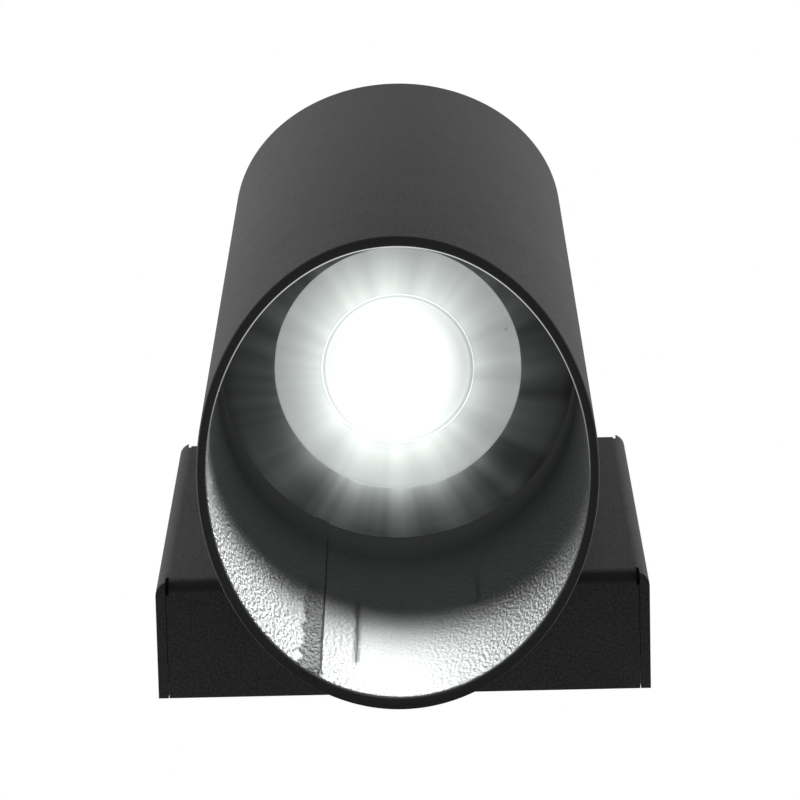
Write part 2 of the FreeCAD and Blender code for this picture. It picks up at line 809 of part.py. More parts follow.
def make_cup(label, hole_diameter, height, upside_down):
    """A pressed ring or disc that is pushed into the bore on a slit skirt and clears the weld bead."""
    outside = bore_radius - s.fit_gap
    inside = outside - s.cup_sheet
    hole = hole_diameter / 2
    cup = turned(
        label + "_cup",
        [
            (hole, 0),
            (outside, 0, s.cup_sheet + s.cup_bend),
            (outside, s.cup_skirt),
            (inside, s.cup_skirt),
            (inside, s.cup_sheet, s.cup_bend),
            (hole, s.cup_sheet),
        ],
    )
    doc.recompute()
    slit = new_sketch(cup, "XZ_Plane")
    near, far = inside - TOOL_REACH, outside + TOOL_REACH
    low, high = s.slit_start, s.cup_skirt + TOOL_REACH
    add_outline(slit, [(near, low), (far, low), (far, high), (near, high)])
    slot = pocket(cup, slit, s.slit_width)
    removed(cup, slot)
    pattern = cup.newObject("PartDesign::PolarPattern", "Slits")
    pattern.Originals = [slot]
    pattern.Axis = (origin_feature(cup, "Z_Axis"), [""])
    pattern.Angle = 360
    pattern.Occurrences = 6
    cup.Tip = pattern
    groove = s.tube_wall + s.bead_rise + 2 * s.loose_gap
    groove_middle = bore_radius - s.bead_rise - s.loose_gap + groove / 2
    notch = block((groove, groove, 4 * s.cup_skirt), (groove_middle, 0, 0))
    ring = place(cut(cup, notch, name=label + "_ring"), (0, axis_y, height))
    to_bead = FreeCAD.Rotation(FreeCAD.Vector(0, 0, 1), 90 + s.bead_turn.value)
    ring.Placement.Rotation = to_bead.multiply(TOWARDS["-z" if upside_down else "z"])
    keep(ring, label)


def keep_in_lamp(item, label):
    """Keeps a piece that was made about the lamp's axis, at heights behind the lamp's face."""
    keep(place(item, (0, axis_y, face_z)), label)


def make_lamp_front():
    """The bezel that shows around the lamp, and its clear lens with a flange behind the bezel."""
    outside = s.lamp_diameter / 2
    lens = s.lens_diameter / 2
    skirt_inside = outside - s.bezel_wall
    bezel = turned(
        "bezel_ring",
        [
            (lens + s.close_gap, 0),
            (outside, 0, s.bezel_round),
            (outside, s.bezel_skirt),
            (skirt_inside, s.bezel_skirt),
            (skirt_inside, s.bezel_sheet),
            (lens + s.close_gap, s.bezel_sheet),
        ],
    )
    keep_in_lamp(bezel, "lamp_bezel")
    flange_front = s.bezel_sheet + s.close_gap
    flange_back = flange_front + s.lens_flange
    foot = s.board_depth - s.chip_height - s.close_gap
    lens_body = turned(
        "lens_body",
        [
            (0, s.lens_recess),
            (lens, s.lens_recess),
            (lens, flange_front),
            (lens + s.lens_flange, flange_front),
            (lens + s.lens_flange, flange_back),
            (lens - s.lens_flange, flange_back),
            (s.chip_diameter / 2, foot),
            (0, foot),
        ],
    )
    keep_in_lamp(lens_body, "lamp_lens")


# The lamp's housing: a band behind the bezel, then a cone down to the waist.
housing_band = s.lamp_diameter / 2 - s.housing_step
band_top = s.bezel_skirt + s.close_gap + s.band_height
cone_slope = (housing_band - s.waist_diameter / 2) / (s.waist_height - band_top)


def inside_housing(height):
    """The largest radius that fits inside the housing's cone at a height behind the lamp's face."""
    return housing_band - cone_slope * (height - band_top) - 2 * s.housing_wall


def make_lamp_housing():
    lip = s.lamp_diameter / 2 - s.bezel_wall - s.close_gap
    front = s.bezel_sheet + s.close_gap
    shoulder = s.bezel_skirt + s.close_gap
    waist, neck = s.waist_diameter / 2, s.neck_diameter / 2
    wall = s.housing_wall
    shell = turned(
        "housing_shell",
        [
            (lip, front),
            (lip, shoulder),
            (housing_band, shoulder),
            (housing_band, band_top),
            (waist, s.waist_height),
            (neck, s.neck_height),
            (neck, s.neck_top),
            (neck - wall, s.neck_top),
            (neck - wall, s.neck_height),
            (waist - wall, s.waist_height),
            (housing_band - wall, band_top),
            (lip - wall, front),
        ],
    )
    keep_in_lamp(shell, "lamp_housing")


def make_led():
    """The board with its light source, the dished heat sink behind it, and the driver board."""
    chip = s.chip_diameter / 2
    chip_front = s.board_depth - s.chip_height
    chip_corners = [(0, chip_front), (chip, chip_front), (chip, s.board_depth), (0, s.board_depth)]
    keep_in_lamp(turned("chip_disc", chip_corners), "led_chip")
    sink_foot = s.board_depth + s.board_sheet
    board = inside_housing(sink_foot)
    board_corners = [(0, s.board_depth), (board, s.board_depth), (board, sink_foot), (0, sink_foot)]
    keep_in_lamp(turned("board_disc", board_corners), "led_board")
    sink_floor = sink_foot + s.sink_sheet
    sink_top = s.waist_height - s.sink_sheet
    dish = turned(
        "sink_dish",
        [
            (0, sink_foot),
            (inside_housing(sink_foot), sink_foot),
            (inside_housing(sink_top), sink_top),
            (inside_housing(sink_top) - s.sink_sheet, sink_top),
            (inside_housing(sink_floor) - s.sink_sheet, sink_floor),
            (0, sink_floor),
        ],
    )
    keep_in_lamp(dish, "heat_sink")
    card_foot = sink_floor + s.close_gap
    card_height = s.neck_top - s.plug_depth - s.close_gap - card_foot
    middle = card_foot + card_height / 2
    card = block((s.driver_width, s.driver_sheet, card_height), (0, 0, middle))
    coil = block((s.coil_width, s.coil_width, s.coil_width), (-s.coil_width / 2, s.coil_width / 2, middle))
    can_foot = middle - s.can_height / 2
    can = cylinder(s.can_diameter, s.can_height, (s.can_diameter, s.can_diameter / 2, can_foot))
    keep_in_lamp(fuse(card, coil, can, name="driver"), "driver_board")


def make_lamp_base():
    """The insulating base that plugs into the housing's neck, and the two headed contact pins."""
    neck = s.neck_diameter / 2
    plug = neck - s.housing_wall - s.close_gap
    boss = s.boss_diameter / 2
    seat = s.neck_top + s.fit_gap
    base = turned(
        "base_plug",
        [
            (0, s.neck_top - s.plug_depth),
            (plug, s.neck_top - s.plug_depth),
            (plug, seat),
            (neck, seat),
            (neck, seat + s.housing_wall),
            (boss, s.lamp_length - s.boss_height),
            (boss, s.lamp_length),
            (0, s.lamp_length),
        ],
    )
    pin_foot = s.lamp_length - s.pin_root
    head_bottom = s.lamp_length + s.loose_gap + s.holder_face + s.loose_gap
    sockets, pins = [], []
    for side in (-1, 1):
        middle = side * s.pin_spacing / 2
        sockets.append(cylinder(s.pin_neck + 2 * s.fit_gap, s.lamp_length, (middle, 0, pin_foot)))
        shank = cylinder(s.pin_neck, head_bottom - pin_foot, (middle, 0, pin_foot))
        head = cylinder(s.pin_head, s.pin_head_height, (middle, 0, head_bottom))
        pins.append(place(fuse(shank, head), (0, axis_y, face_z)))
    keep_in_lamp(cut(base, *sockets, name="base"), "lamp_base")
    keep(group(*pins, name="pin_set"), "lamp_pins")


def lead_pipe(points):
    """A round lead along straight runs, with an arc at each turn as large as its runs allow."""
    spots = [FreeCAD.Vector(*(as_size(value).value for value in point)) for point in points]
    edges = []
    start = spots[0]
    for before, corner, after in zip(spots, spots[1:], spots[2:]):
        inward, outward = corner - before, after - corner
        half_turn = inward.getAngle(outward) / 2
        if half_turn < 0.001:
            continue
        tail = 0.45 * min(inward.Length, outward.Length)
        radius = tail / math.tan(half_turn)
        inward.normalize()
        outward.normalize()
        arc_start = corner - inward * tail
        arc_end = corner + outward * tail
        to_middle = (outward - inward).normalize() * (radius / math.cos(half_turn) - radius)
        edges.append(Part.LineSegment(start, arc_start).toShape())
        edges.append(Part.Arc(arc_start, corner + to_middle, arc_end).toShape())
        start = arc_end
        print(f"  bend radius {radius:.1f} mm")
    edges.append(Part.LineSegment(start, spots[-1]).toShape())
    path = Part.Wire(edges)
    radius = s.lead_diameter.value / 2
    section = Part.Wire([Part.makeCircle(radius, spots[0], spots[1] - spots[0])])
    pipe = path.makePipeShell([section], True, False)
    expected = math.pi * radius**2 * path.Length
    if abs(pipe.Volume - expected) > 0.01 * expected:
        raise RuntimeError(f"a lead has {pipe.Volume:.1f} mm3 instead of {expected:.1f} mm3")
    return pipe


def make_lead(label, points):
    print(label)
    lead = doc.addObject("Part::Feature", label + "_shape")
    lead.Shape = lead_pipe(points)
    lead.Placement = FreeCAD.Placement()
    keep(lead, label)


def make_wiring():
    """The leads from the holder through the bush to the terminals, and the earth lead from its lug."""
    top = s.lead_height
    past_bush = cover_inside + s.bush_flange
    beside = s.lead_diameter / 2 + s.loose_gap
    over_clamps = s.block_level + s.block_height / 2 + s.lead_run
    clamp_end = s.block_level + s.block_height / 2 - s.lead_entry
    routes = (
        ("live_lead", -1, pole_x[2], cover_inside + s.live_depth),
        ("neutral_lead", 1, pole_x[1], cover_inside + s.neutral_depth),
    )
    for label, side, pole, depth in routes:
        pin_x = side * s.pin_spacing / 2
        make_lead(
            label,
            [
                (pin_x, axis_y, holder_front + s.holder_face + s.holder_cavity + s.contact_tail),
                (pin_x, axis_y, top),
                (side * beside, bore_floor, top),
                (side * beside, past_bush, top),
                (side * beside, depth, top),
                (pole, depth, top),
                (pole, clamp_y, over_clamps),
                (pole, clamp_y, clamp_end),
            ],
        )
    upper = tube_screw_heights[1]
    barrel_diameter = s.lead_diameter + 2 * s.lug_sheet
    barrel_y = cover_inside + barrel_diameter / 2
    barrel_foot = upper + s.washer_diameter / 2 + s.loose_gap
    lug_top = cover_inside + s.lug_sheet
    tongue = barrel_foot - upper
    tongue_sizes = (s.lead_diameter, s.lug_sheet, tongue)
    lug = fuse(
        cylinder(s.lug_diameter, s.lug_sheet, (0, lug_top, upper), "-y"),
        block(tongue_sizes, (0, lug_top - s.lug_sheet / 2, upper + tongue / 2)),
        cylinder(barrel_diameter, s.lug_barrel, (0, barrel_y, barrel_foot)),
    )
    lug_hole = cylinder(tube_screw_hole, s.washer_diameter, (0, lug_top + TOOL_REACH, upper), "-y")
    crimp = cylinder(s.lead_diameter + 2 * s.fit_gap, s.lug_barrel, (0, barrel_y, barrel_foot + s.lug_sheet))
    keep(cut(lug, lug_hole, crimp, name="lug"), "earth_lug")
    turn_z = top - s.lead_hole / 2 - s.bush_wall - s.lead_diameter
    make_lead(
        "earth_lead",
        [
            (0, barrel_y, barrel_foot + s.lug_sheet),
            (0, barrel_y, turn_z),
            (pole_x[0], clamp_y - s.lead_diameter, turn_z),
            (pole_x[0], clamp_y, over_clamps - s.lead_run / 2),
            (pole_x[0], clamp_y, clamp_end),
        ],
    )


def make_lead_bush():
    """The silicone bush that guides the leads through cover and tube."""
    sleeve_length = cover_inside - bore_floor + s.bush_wall
    flange_spot = (0, cover_inside + s.bush_flange, s.lead_height)
    bush = fuse(
        cylinder(s.lead_hole - 2 * s.fit_gap, sleeve_length, (0, cover_inside, s.lead_height), "-y"),
        cylinder(s.lead_hole + 2 * s.bush_wall, s.bush_flange, flange_spot, "-y"),
    )
    bore_spot = (0, cover_inside + sleeve_length, s.lead_height)
    bore = cylinder(s.lead_hole - 2 * s.bush_wall, 3 * sleeve_length, bore_spot, "-y")
    keep(cut(bush, bore, name="guide"), "lead_bush")


def make_terminals():
    """The three-pole terminal block on the plate, its brass clamps and screws, and its fixing screw."""
    bottom = s.block_level - s.block_height / 2
    clamp_length = s.block_height - 2 * s.clamp_recess
    clamp_foot = bottom + s.clamp_recess
    screw_tip = clamp_y - s.lead_diameter / 2 - s.loose_gap
    screw_length = screw_tip - block_front - s.loose_gap
    tools, clamps, screws = [], [], []
    for x in pole_x:
        channel_width = s.clamp_diameter + 2 * s.close_gap
        tools.append(cylinder(channel_width, 2 * s.block_height, (x, clamp_y, bottom - TOOL_REACH)))
        threads = []
        for end in (-1, 1):
            height = s.block_level + end * clamp_length / 4
            tools.append(cylinder(s.clamp_screw + 2 * s.hole_gap, s.block_depth, (x, clamp_y, height), "-y"))
            thread_width = s.clamp_screw + 2 * s.fit_gap
            threads.append(cylinder(thread_width, s.clamp_diameter, (x, clamp_y, height), "-y"))
            shank = cylinder(s.clamp_screw, screw_length, (x, screw_tip, height), "-y")
            slot_sizes = (2 * s.clamp_screw, s.screw_slot, s.screw_slot)
            screws.append(cut(shank, block(slot_sizes, (x, screw_tip - screw_length, height))))
        rod = cylinder(s.clamp_diameter, clamp_length, (x, clamp_y, clamp_foot))
        bore = cylinder(s.clamp_bore, clamp_length, (x, clamp_y, clamp_foot))
        clamps.append(cut(rod, bore, *threads))
    fixing = (block_screw_x, block_front, s.block_level)
    tools.append(cylinder(small_screw_hole, 2 * s.block_depth, fixing, "y"))
    tools.append(cylinder(s.small_screw_head + 2 * s.hole_gap, s.block_sink, fixing, "y"))
    block_middle = -s.plate_sheet - s.block_depth / 2
    housing_sizes = (3 * s.block_pitch, s.block_depth, s.block_height)
    housing = block(housing_sizes, (-s.block_centre, block_middle, s.block_level))
    keep(cut(housing, *tools, name="block"), "terminal_block")
    keep(group(*clamps, name="clamp_set"), "terminal_clamps")
    keep(group(*screws, name="terminal_screw_set"), "terminal_screws")
    head = cylinder(s.small_screw_head, s.small_screw_head_height, towards="-z")
    shank = cylinder(s.small_screw, s.block_depth + s.plate_sheet - s.block_sink)
    socket_depth = s.small_screw_head_height * SOCKET_SHARE
    socket = hexagon(s.small_socket, s.small_screw_head_height, (0, 0, -TOOL_REACH - socket_depth))
    screw = cut(fuse(head, shank), socket, name="fixing_screw")
    keep(place(screw, (block_screw_x, block_front + s.block_sink, s.block_level), "y"), "block_screw")


def check_parts():
    """Stops the build if an object failed, or if a sub-part is empty or isn't a valid solid."""
    doc.recompute()
    for item in doc.Objects:
        if {"Invalid", "Error"} & set(item.State):
            raise RuntimeError(f"{item.Name} failed: {item.State}")
    for item in parts:
        if item.Shape.isNull() or not item.Shape.isValid() or not item.Shape.Solids:
            raise RuntimeError(f"{item.Label} has no valid solid")


def write_parts():
    os.makedirs("parts", exist_ok=True)
    for item in parts:
        item.Shape.exportStep(f"parts/{item.Label}.step")
        print(f"{item.Label}: {len(item.Shape.Solids)} solids, {item.Shape.Volume / 1000:.2f} cm3")


make_tube()
make_cover()
make_cover_screws()
make_wall_plate()
make_ear_nuts()
make_cable_bush()
make_tube_screws()
make_lamp_bracket()
make_lamp_holder()
make_holder_contacts()
make_holder_screws()
make_cup("baffle", s.lamp_diameter + 2 * s.lamp_gap, face_z, upside_down=False)
make_cup("closing_disc", as_size(0), s.closing_height, upside_down=True)
make_lamp_front()
make_lamp_housing()
make_led()
make_lamp_base()
make_wiring()
make_lead_bush()
make_terminals()
check_parts()
write_parts()
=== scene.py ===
import math

import bmesh
import bpy
from mathutils import Matrix, Vector


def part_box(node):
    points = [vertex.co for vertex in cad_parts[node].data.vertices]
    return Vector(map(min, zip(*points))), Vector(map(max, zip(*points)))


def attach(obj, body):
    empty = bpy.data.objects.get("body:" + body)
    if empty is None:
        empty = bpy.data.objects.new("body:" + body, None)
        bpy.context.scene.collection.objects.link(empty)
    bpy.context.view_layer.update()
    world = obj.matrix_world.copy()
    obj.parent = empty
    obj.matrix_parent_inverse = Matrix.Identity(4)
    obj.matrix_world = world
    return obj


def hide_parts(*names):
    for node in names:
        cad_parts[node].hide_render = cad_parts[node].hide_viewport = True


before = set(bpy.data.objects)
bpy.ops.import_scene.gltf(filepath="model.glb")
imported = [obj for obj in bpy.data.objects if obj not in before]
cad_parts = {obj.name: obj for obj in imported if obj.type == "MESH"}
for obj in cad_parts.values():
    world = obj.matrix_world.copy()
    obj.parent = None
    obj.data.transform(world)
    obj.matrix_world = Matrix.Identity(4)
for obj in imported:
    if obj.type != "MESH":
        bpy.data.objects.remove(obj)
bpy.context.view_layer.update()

MM = 0.001

# Places that the looks share, read from the CAD nodes: the tube's axis runs along Z at (0, AXIS_Y).
tube_low, tube_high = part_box("tube_body")
bezel_low, bezel_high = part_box("lamp_bezel")
baffle_low, baffle_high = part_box("baffle")
AXIS_Y = (tube_low.y + tube_high.y) / 2
TUBE_RADIUS = (tube_high.x - tube_low.x) / 2
TUBE_INSIDE = TUBE_RADIUS - 2.0 * MM
BORE_RADIUS = (baffle_high.x - baffle_low.x) / 2
LAMP_FACE_Z = bezel_low.z
LAMP_RADIUS = (bezel_high.x - bezel_low.x) / 2
LENS_RADIUS = 15.5 * MM

# Both ends are cut at a slant. The lit lip is a plane through LIP_POINT, and LIP_INWARD points into the
# tube.
CUT_ANGLE = math.radians(40.0)
TUBE_HALF = 119.98 * MM
LIP_POINT = Vector((0.0, AXIS_Y, -TUBE_HALF))
LIP_INWARD = Vector((0.0, math.sin(CUT_ANGLE), math.cos(CUT_ANGLE)))

# The middle of the lamp's glow is a little off the lamp's own. The gate is where its ring was moulded from.
GLOW_CENTRE = (-0.055 * LAMP_RADIUS, AXIS_Y + 0.055 * LAMP_RADIUS, LAMP_FACE_Z)
GATE_X, GATE_Y = 22.3 * MM, AXIS_Y - 7.7 * MM

# The weld, as turns about the axis in degrees from the wall side towards -X: its strip of rough coat with a
# painted
# # shadow, the edge that stands proud, and the middle and half width of the part that waves.
STRIP_START, STRIP_END = 25.0, 34.2
WELD_EDGE = 29.5
WAVE_MIDDLE, WAVE_HALF_WIDTH = 28.0, 2.2

# The bore's mesh has a row of points every ROW_MM from the lit lip, so that the weld can wave.
ROW_MM = 4.0
ROW_COUNT = 28


# ---------------------------------------------------------------- colours and nodes


def linear(hex_colour):
    """Turns an sRGB hex colour such as "3a3a3c" to the linear values that shaders take."""
    channels = [int(hex_colour[i:i + 2], 16) / 255 for i in (0, 2, 4)]
    return [c / 12.92 if c <= 0.04045 else ((c + 0.055) / 1.055) ** 2.4 for c in channels] + [1.0]


def add(material, kind, inputs=(), **settings):
    """Adds a node with its settings, and gives back its outputs. Its inputs, by name or in their order, are
    each set to a value or linked to an output. A MapRange takes a value, its two ends, and what they
    become."""
    node = material.node_tree.nodes.new("ShaderNode" + kind)
    for name, value in settings.items():
        setattr(node, name, value)
    named = inputs if isinstance(inputs, dict) else dict(enumerate(inputs))
    for name, value in named.items():
        socket = node.inputs[name]
        if isinstance(value, bpy.types.NodeSocket):
            material.node_tree.links.new(value, socket)
        else:
            socket.default_value = value
    return node.outputs


def join(material, output, node, socket):
    material.node_tree.links.new(output, node.inputs[socket])


def new_material(name, colour, roughness, **sockets):
    """A material with its colour and roughness on the shader, and any other shader sockets by name."""
    material = bpy.data.materials.new(name)
    material.use_nodes = True
    shader = material.node_tree.nodes["Principled BSDF"]
    shader.inputs["Base Color"].default_value = linear(colour)
    shader.inputs["Roughness"].default_value = roughness
    for socket, value in sockets.items():
        shader.inputs[socket.replace("_", " ")].default_value = value
    material.diffuse_color = linear(colour)
    return material, shader


def two_tones(material, shader, value, low, high, dark, light):
    """Colours a surface from a dark tone to a light one as a value goes from low to high."""
    share = add(material, "MapRange", [value, low, high, 0.0, 1.0])["Result"]
    mix = add(material, "Mix", {0: share, 6: linear(dark), 7: linear(light)}, data_type="RGBA")
    join(material, mix[2], shader, "Base Color")


def cloudy_colour(material, shader, size_mm, detail, contrast, dark, light):
    """Soft patches of two tones, about size_mm across. Gives back the patches, so that gloss can follow
    them."""
    place = add(material, "TexCoord")["Object"]
    noise = {"Vector": place, "Scale": 1 / (size_mm * MM), "Detail": detail}
    patches = add(material, "TexNoise", noise)["Fac"]
    two_tones(material, shader, patches, 0.5 - contrast, 0.5 + contrast, dark, light)
    return patches


def fine_tooth(material, shader, size_mm, depth_mm, strength, detail=2.0, drawn_out=1.0):
    """Small bumps of about size_mm all over, depth_mm deep. Under 1, drawn_out makes them longer along
    Z."""
    place = add(material, "TexCoord")["Object"]
    longer = add(material, "Mapping", {"Vector": place, "Scale": (1.0, 1.0, drawn_out)})["Vector"]
    noise = {"Vector": longer, "Scale": 1 / (size_mm * MM), "Detail": detail}
    tooth = add(material, "TexNoise", noise)["Fac"]
    bump = add(material, "Bump", {"Height": tooth, "Distance": depth_mm * MM, "Strength": strength})
    join(material, bump["Normal"], shader, "Normal")


def across_tube(material, place):
    """A place's offset from the tube's axis, with X counted towards -X, and its distance from that axis."""
    from_axis = add(material, "VectorMath", [place, (0.0, AXIS_Y, 0.0)], operation="SUBTRACT")["Vector"]
    offset = add(material, "VectorMath", [from_axis, (-1.0, 1.0, 0.0)], operation="MULTIPLY")["Vector"]
    return offset, add(material, "VectorMath", [offset], operation="LENGTH")["Value"]


# ---------------------------------------------------------------- the coat on tube and cover


def weld_rough_and_shadow_strip(material, place, turn, from_lip, in_bore):
    """1 on the weld's strip near the lit lip, otherwise 0: the coat is rough there and carries a painted
    shadow beside the weld's proud edge. The strip's far side wanders.
    """
    noise = {"Vector": place, "Scale": 1 / (6.0 * MM), "Detail": 1.0}
    waves = add(material, "TexNoise", noise)["Fac"]
    wandering = add(material, "Math", [waves, math.radians(5.0), turn], operation="MULTIPLY_ADD")["Value"]
    near_side = [turn, math.radians(STRIP_START), math.radians(STRIP_START + 0.5), 0.0, 1.0]
    far_side = [wandering, math.radians(STRIP_END - 1.2), math.radians(STRIP_END), 1.0, 0.0]
    past_near = add(material, "MapRange", near_side)["Result"]
    before_far = add(material, "MapRange", far_side)["Result"]
    on_strip = add(material, "Math", [past_near, before_far], operation="MULTIPLY")["Value"]
    near_lip = add(material, "MapRange", [from_lip, 30.0 * MM, 50.0 * MM, 1.0, 0.0])["Result"]
    in_reach = add(material, "Math", [in_bore, near_lip], operation="MULTIPLY")["Value"]
    return add(material, "Math", [on_strip, in_reach], operation="MULTIPLY")["Value"]


def coat_colour(material, shader, place, fine, normal, weld):
    """A speckle in soft clouds, with painted shade on the lit lip's cut face and a painted shadow on the
    weld's strip.
    """
    noise = {"Vector": place, "Scale": 1 / (14.0 * MM), "Detail": 3.0}
    clouds = add(material, "TexNoise", noise)["Fac"]
    speckle = add(material, "Math", [clouds, 0.15, fine], operation="MULTIPLY_ADD")["Value"]
    shade = add(material, "MapRange", [speckle, 0.42, 0.73, 0.25, 1.0])["Result"]
    # Painted shade darkens the lit lip's cut face, and a painted shadow darkens the weld's strip.
    facing = add(material, "VectorMath", [normal, -LIP_INWARD], operation="DOT_PRODUCT")["Value"]
    off_cut_shade = add(material, "MapRange", [facing, 0.86, 0.97, 1.0, 0.0])["Result"]
    off_weld_shadow = add(material, "MapRange", [weld, 0.0, 1.0, 1.0, 0.15])["Result"]
    unshaded = add(material, "Math", [off_cut_shade, off_weld_shadow], operation="MULTIPLY")["Value"]
    tone = add(material, "Math", [shade, unshaded], operation="MULTIPLY")["Value"]
    mix = add(material, "Mix", {0: tone, 6: linear("131314"), 7: linear("363638")}, data_type="RGBA")
    join(material, mix[2], shader, "Base Color")


def coat_relief(material, shader, place, fine, turn, in_bore, weld):
    """Sand all over, and orange peel in the bore: shallower in the middle of the wall side, deeper on the
    weld."""
    longer = add(material, "Mapping", {"Vector": place, "Scale": (1.0, 1.0, 0.42)})["Vector"]
    noise = {"Vector": longer, "Scale": 1 / (0.64 * MM), "Detail": 1.0, "Roughness": 0.4}
    peel = add(material, "TexNoise", noise)["Fac"]
    off_middle = add(material, "Math", [turn], operation="ABSOLUTE")["Value"]
    shallow_part = [off_middle, math.radians(8.0), math.radians(40.0), 0.45, 1.0]
    depth = add(material, "MapRange", shallow_part)["Result"]
    coarse = add(material, "Math", [in_bore, depth], operation="MULTIPLY")["Value"]
    lumps = add(material, "Math", [weld, 1.6, coarse], operation="MULTIPLY_ADD")["Value"]
    height = add(material, "Math", [peel, lumps], operation="MULTIPLY")["Value"]
    sand = add(material, "Bump", {"Height": fine, "Distance": 0.1 * MM, "Strength": 0.8})["Normal"]
    bump = add(material, "Bump", {"Height": height, "Distance": 0.34 * MM, "Normal": sand})
    join(material, bump["Normal"], shader, "Normal")


def coat_light(material, shader, place, offset, radius, from_lip, in_bore):
    """The lamp's light where no lamp of the scene throws it: a thin line on the lit lip's inner edge,
    brightest on the room side, and the last of the spill in the bore beside the baffle."""
    at_lip = add(material, "MapRange", [from_lip, 0.1 * MM, 0.3 * MM, 1.0, 0.0])["Result"]
    inner_edge = [radius, TUBE_INSIDE + 0.12 * MM, TUBE_INSIDE + 0.32 * MM, 1.0, 0.0]
    at_bore = add(material, "MapRange", inner_edge)["Result"]
    on_edge = add(material, "Math", [at_lip, at_bore], operation="MULTIPLY")["Value"]
    to_wall = add(material, "SeparateXYZ", [offset])["Y"]
    room_side = add(material, "MapRange", [to_wall, -TUBE_INSIDE, 0.1 * TUBE_INSIDE, 0.9, 0.08])["Result"]
    edge_light = add(material, "Math", [on_edge, room_side], operation="MULTIPLY")["Value"]
    height = add(material, "SeparateXYZ", [place])["Z"]
    above_face = add(material, "Math", [height, LAMP_FACE_Z], operation="SUBTRACT")["Value"]
    off_face = add(material, "Math", [above_face], operation="ABSOLUTE")["Value"]
    spill = add(material, "MapRange", [off_face, 0.0, 16.0 * MM, 0.024, 0.0])["Result"]
    light = add(material, "Math", [in_bore, spill, edge_light], operation="MULTIPLY_ADD")["Value"]
    shader.inputs["Emission Color"].default_value = linear("f2f6f4")
    join(material, light, shader, "Emission Strength")


def powder_coat_on_steel():
    """Polyester powder coat, baked: a fine sandy texture outside, and in the bore a coarse orange peel
    where it ran heavy, drawn out along the tube. Its colour has painted shade on the lit lip's cut face and
    a painted shadow on the weld's strip, where the coat is also rough. It glows with painted light on the
    lit lip's inner edge and in the bore beside the baffle. The fine grain is drawn at 0.45 mm, about twice
    its real size, so that it shows."""
    material, shader = new_material("powder_coat_polyester_baked", "2c2c2d", 0.7, Specular_IOR_Level=0.12)
    coordinates = add(material, "TexCoord")
    place = coordinates["Object"]
    noise = {"Vector": place, "Scale": 1 / (0.45 * MM), "Detail": 3.0}
    fine = add(material, "TexNoise", noise)["Fac"]

    # Where a place is: its turn about the tube's axis, its distance from the lit lip, and if it is in the
    # bore.
    offset, radius = across_tube(material, place)
    sides = add(material, "SeparateXYZ", [offset])
    turn = add(material, "Math", [sides["X"], sides["Y"]], operation="ARCTAN2")["Value"]
    over_lip = add(material, "VectorMath", [place, LIP_POINT], operation="SUBTRACT")["Vector"]
    from_lip = add(material, "VectorMath", [over_lip, LIP_INWARD], operation="DOT_PRODUCT")["Value"]
    bore_skin = [radius, BORE_RADIUS + 0.4 * MM, BORE_RADIUS + 1.2 * MM, 1.0, 0.0]
    in_bore = add(material, "MapRange", bore_skin)["Result"]
    # The weld's strip makes the coat rough and carries a painted shadow.
    weld = weld_rough_and_shadow_strip(material, place, turn, from_lip, in_bore)

    coat_colour(material, shader, place, fine, coordinates["Normal"], weld)
    coat_relief(material, shader, place, fine, turn, in_bore, weld)
    coat_light(material, shader, place, offset, radius, from_lip, in_bore)

    # The coat is a little glossier in the bore, and duller on the weld.
    gloss = add(material, "Math", [in_bore, -0.12, 0.7], operation="MULTIPLY_ADD")["Value"]
    dulled = add(material, "Math", [weld, 0.15, gloss], operation="MULTIPLY_ADD")["Value"]
    join(material, dulled, shader, "Roughness")
    return material


# ---------------------------------------------------------------- the lit lamp and what it lights


def spill_from(material, place, centre):
    """How far a place is from the middle of the lamp's spill, with distances along Y counted at 0.8, and
    soft rays that run outwards from there (0..1)."""
    away = add(material, "VectorMath", [place, centre], operation="SUBTRACT")["Vector"]
    squeezed = add(material, "VectorMath", [away, (1.0, 0.8, 1.0)], operation="MULTIPLY")["Vector"]
    reach = add(material, "VectorMath", [squeezed], operation="LENGTH")["Value"]
    direction = add(material, "VectorMath", [away], operation="NORMALIZE")["Vector"]
    noise = {"Vector": direction, "Scale": 3.2, "Detail": 2.0, "Roughness": 0.6}
    return reach, add(material, "TexNoise", noise)["Fac"]


def lens_rim_shade(material, place, start, end, inner, outer):
    """A value that goes from inner to outer between two distances past the lens's edge."""
    radius = across_tube(material, place)[1]
    past_edge = [radius, LENS_RADIUS + start, LENS_RADIUS + end, inner, outer]
    return add(material, "MapRange", past_edge)["Result"]


def lit_lens():
    """Clear polycarbonate lens in front of the lit chip: it glows white, and less towards its edge. The
    glow sits a little off the middle, towards the wall."""
    material, shader = new_material("polycarbonate_lens_lit", "b4bebb", 0.2, IOR=1.585)
    place = add(material, "TexCoord")["Object"]
    reach = spill_from(material, place, GLOW_CENTRE)[0]
    crown = add(material, "MapRange", [reach, 0.45 * LAMP_RADIUS, 0.69 * LAMP_RADIUS, 1.05, 0.46])["Result"]
    rim = lens_rim_shade(material, place, -0.9 * MM, -0.4 * MM, 1.0, 0.84)
    glow = add(material, "Math", [crown, rim], operation="MULTIPLY")["Value"]
    fine_tooth(material, shader, 2.5, 0.03, 0.4, detail=1.0)
    shader.inputs["Emission Color"].default_value = linear("fafffd")
    join(material, glow, shader, "Emission Strength")
    return material


